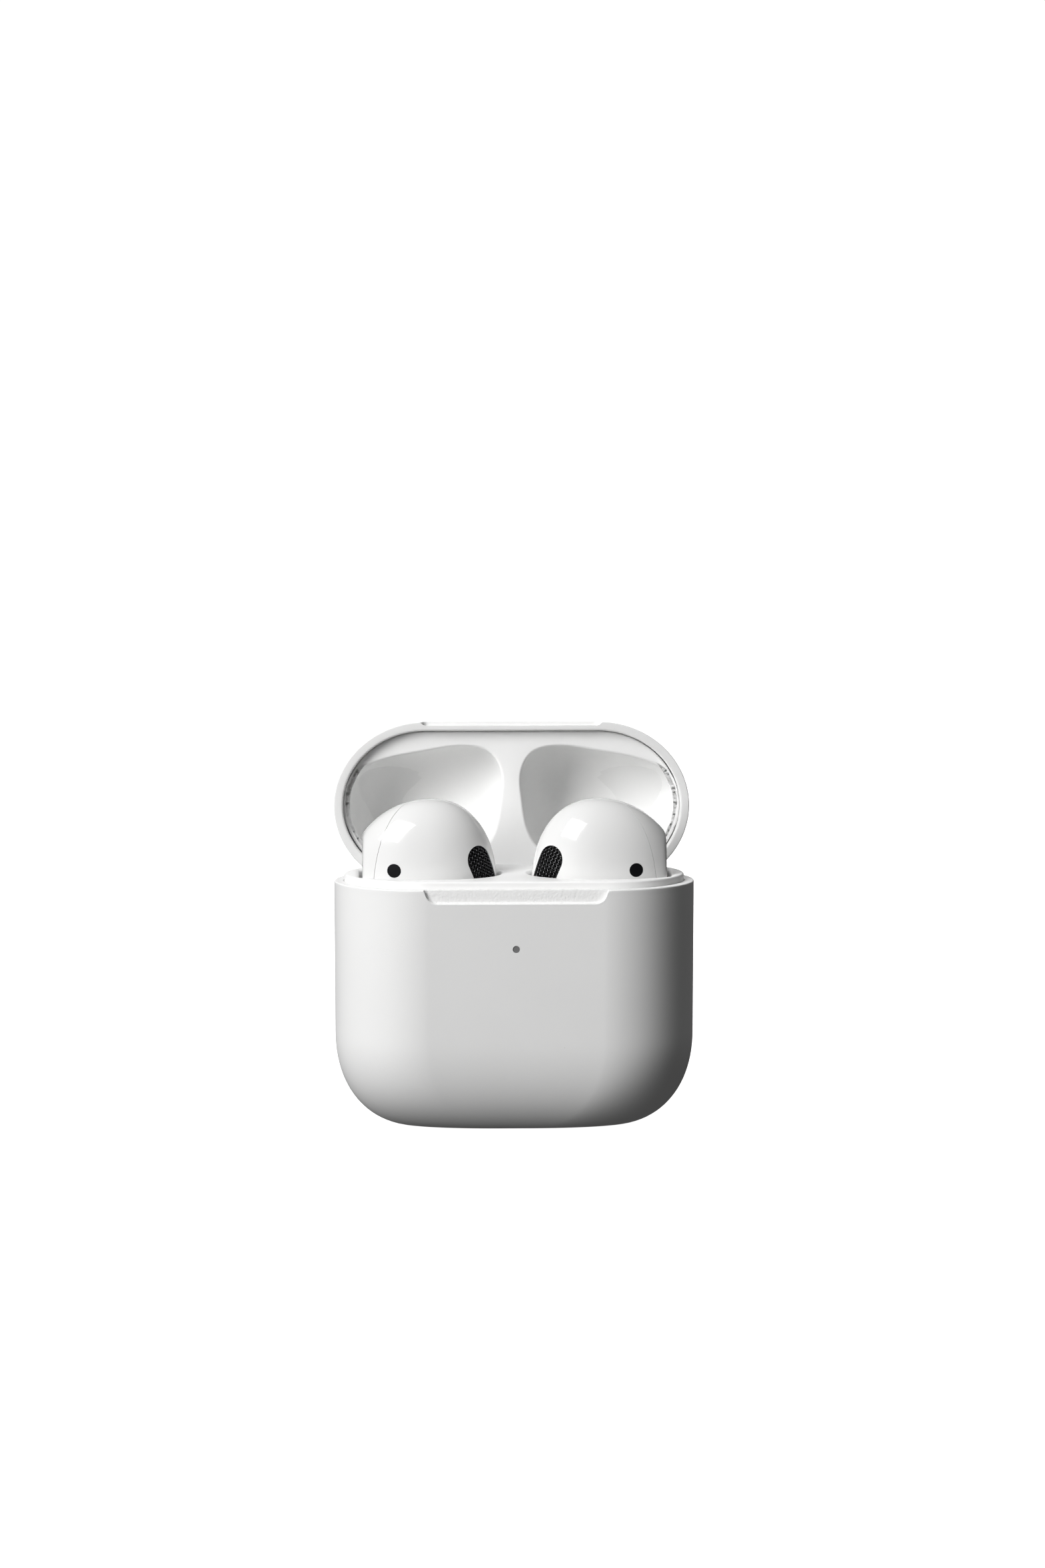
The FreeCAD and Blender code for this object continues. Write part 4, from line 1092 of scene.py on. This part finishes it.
MATERIALS = {
    "shell": moulded("shell_matte_white", (0.83, 0.83, 0.825), 0.008, 0.5, 0.06, 5200.0, 0.3,
                     specks=0.1, recess=True),
    "liner": moulded("liner_satin_white", (0.89, 0.89, 0.885), 0.008, 0.45, 0.05, 4200.0, 0.15,
                     specks=0.06, shine=0.25),
    "earbud": moulded("earbud_gloss_white", (0.76, 0.76, 0.755), 0.006, 0.09, 0.02, 1200.0, 0.02, coat=0.5),
    "lens": moulded("sensor_black", (0.004, 0.004, 0.005), 0.001, 0.45, 0.05, 900.0, 0.03, shine=0.15),
    "backing": moulded("grille_backing", (0.004, 0.004, 0.004), 0.001, 0.6, 0.1, 2500.0, 0.3),
    "wire": metal("grille_wire", (0.05, 0.05, 0.052), 0.2),
    "steel": metal("hinge_steel", (0.72, 0.72, 0.73), 0.28, (0.05, 1, 1)),
    "port": metal("port_steel", (0.6, 0.6, 0.62), 0.3, (1, 1, 0.08)),
    "nickel": metal("magnet_nickel", (0.66, 0.63, 0.6), 0.18),
    "gold": metal("pin_gold", (0.9, 0.68, 0.3), 0.2),
    "chrome": metal("contact_chrome", (0.8, 0.8, 0.81), 0.1, scratch=0.08),
    "foil": metal("cell_foil", (0.62, 0.63, 0.66), 0.42, scratch=0.5),
    "driver": metal("driver_dark", (0.16, 0.16, 0.17), 0.4),
    "board": moulded("board_green", (0.03, 0.16, 0.09), 0.02, 0.3, 0.08, 900.0, 0.3, coat=0.3),
    "dark": moulded("dark_plastic", (0.05, 0.05, 0.055), 0.01, 0.5, 0.08, 3000.0, 0.35),
    "light": moulded("light_guide", (0.2, 0.2, 0.2), 0.03, 0.18, 0.04, 800.0, 0.1, coat=0.4),
}

NODES_OF = {
    "steel": ("hinge_bracket", "hinge_pin", "lid_hinge_arm", "hinge_screws"),
    "light": ("status_light_guide",),
    "board": ("status_light_board", "main_board", "button_board"),
    "port": ("charging_port_shell", "button_switch"),
    "dark": ("charging_port_tongue", "chassis"),
    "foil": ("battery_cell",),
    "nickel": ("closing_magnet", "lid_magnet"),
    "shell": ("outer_shell", "lid_shell", "setup_button"),
    "liner": ("inner_tray", "lid_liner"),
}
SIDE_NODES_OF = {
    "dark": ("pin_carrier",),
    "gold": ("front_charging_pin", "rear_charging_pin"),
    "nickel": ("well_magnet", "earbud_stem_magnet"),
    "earbud": ("earbud_front_shell", "earbud_rear_shell", "earbud_contact_spacer"),
    "wire": ("earbud_speaker_grille", "earbud_microphone_mesh"),
    "lens": ("earbud_sensor_window",),
    "driver": ("earbud_speaker_driver",),
    "foil": ("earbud_cell",),
    "board": ("earbud_circuit_board",),
    "chrome": ("earbud_plus_contact", "earbud_minus_contact"),
}


def dress(obj, material):
    """Give an object one of the materials and no other."""
    obj.data.materials.clear()
    obj.data.materials.append(MATERIALS[material])


def dress_cad_nodes():
    """Give every piece of the design its material."""
    for material, nodes in NODES_OF.items():
        for node in nodes:
            dress(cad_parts[node], material)
    for material, nodes in SIDE_NODES_OF.items():
        for node in nodes:
            for side in ("left", "right"):
                dress(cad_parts[f"{side}_{node}"], material)


# ---- pieces on their bodies ----
def fit(obj, body, material, slot, *nodes):
    """Put a piece on its body, in place of the nodes it is a finer form of."""
    dress(obj, material)
    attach(obj, body)
    if nodes:
        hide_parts(*nodes)


def build_object():
    dress_cad_nodes()
    fit(body_shell(), "case", "shell", "matte_white_shell", "outer_shell")
    fit(tray(), "case", "liner", "gloss_white_liner", "inner_tray")
    fit(lid(), "lid", "shell", "matte_white_shell", "lid_shell")
    fit(liner(), "lid", "liner", "gloss_white_liner", "lid_liner")
    for side in ("left", "right"):
        parts = earbud(side)
        body = f"{side}_earbud"
        fit(parts["front_skin"], body, "earbud", "gloss_white_earbud", f"{body}_front_shell")
        fit(parts["rear_skin"], body, "earbud", "gloss_white_earbud", f"{body}_rear_shell")
        fit(parts["mesh_wires"], body, "wire", "black_mesh", f"{body}_speaker_grille")
        fit(parts["backing"], body, "backing", "black_mesh")
        fit(parts["lens"], body, "lens", "black_lens", f"{body}_sensor_window")


# ---- studio ----
FLOOR_HALF = 30.0
FLOOR_GLOW = 0.96
WORLD_STRENGTH = 0.07
LIGHT_TARGET = (0, 0, 0.03)
# name: azimuth, elevation, distance, size and energy; azimuth 0 is in front, negative to the left
LIGHTS = {
    "key": (-45, 30, 0.8, (0.36, 0.75), 8.6),
    "top": (150, 82, 0.7, (0.6, 0.5), 1.4),
    "rear_fill": (176, 30, 0.8, (0.6, 0.4), 3.0),
    "window_card": (-56, 50, 0.8, (0.42, 0.34), 9.0),
}
CAMERA_TARGET = Vector((0.001168, 0, 0.047725))
CAMERA_FROM = (-1.55, 6.6, 1.1)       # azimuth, elevation and distance
CAMERA_LENS = 181.9


def aim(obj, target):
    way = Vector(target) - obj.location
    obj.rotation_euler = way.to_track_quat("-Z", "Y").to_euler()


def seen_from(target, azimuth, elevation, distance):
    """A place at some distance from the target, by its two angles in degrees."""
    a, e = math.radians(azimuth), math.radians(elevation)
    way = Vector((math.sin(a) * math.cos(e), -math.cos(a) * math.cos(e), math.sin(e)))
    return Vector(target) + distance * way


def area_light(name, azimuth, elevation, distance, size, energy):
    """A soft box; only the window card shows in reflections, and it lights nothing else."""
    light = bpy.data.lights.new(name, "AREA")
    light.shape = "RECTANGLE"
    light.size, light.size_y = size
    light.energy = energy
    obj = bpy.data.objects.new(name, light)
    bpy.context.scene.collection.objects.link(obj)
    obj.location = seen_from(LIGHT_TARGET, azimuth, elevation, distance)
    aim(obj, LIGHT_TARGET)
    if name == "window_card":
        obj.visible_diffuse = False
    else:
        obj.visible_glossy = False


def pale_floor():
    size = FLOOR_HALF
    mesh = bpy.data.meshes.new("floor")
    corners = [(-size, -size, 0), (size, -size, 0), (size, size, 0), (-size, size, 0)]
    mesh.from_pydata(corners, [], [(0, 1, 2, 3)])
    floor = bpy.data.objects.new("floor", mesh)
    bpy.context.scene.collection.objects.link(floor)
    material, _, _, shader = new_material("floor_pale")
    shader.inputs["Base Color"].default_value = (0.9, 0.9, 0.9, 1)
    shader.inputs["Roughness"].default_value = 0.9
    shader.inputs["Emission Color"].default_value = (1, 1, 1, 1)
    shader.inputs["Emission Strength"].default_value = FLOOR_GLOW
    mesh.materials.append(material)
    floor.visible_diffuse = False
    floor.visible_glossy = False


def studio():
    pale_floor()
    world = bpy.data.worlds.new("studio")
    bpy.context.scene.world = world
    world.use_nodes = True
    world.node_tree.nodes["Background"].inputs["Color"].default_value = (1, 1, 1, 1)
    world.node_tree.nodes["Background"].inputs["Strength"].default_value = WORLD_STRENGTH
    for name, values in LIGHTS.items():
        area_light(name, *values)


def camera():
    data = bpy.data.cameras.new("camera")
    data.sensor_width = 36.0
    data.lens = CAMERA_LENS
    data.clip_start = 0.01
    data.clip_end = 100.0
    obj = bpy.data.objects.new("camera", data)
    bpy.context.scene.collection.objects.link(obj)
    obj.location = seen_from(CAMERA_TARGET, *CAMERA_FROM)
    aim(obj, CAMERA_TARGET)
    bpy.context.scene.camera = obj


def set_view():
    """Plain colours, so that white plastic stays white."""
    bpy.context.scene.view_settings.view_transform = "Standard"
    bpy.context.scene.view_settings.look = "None"


camera()
studio()
set_view()
build_object()
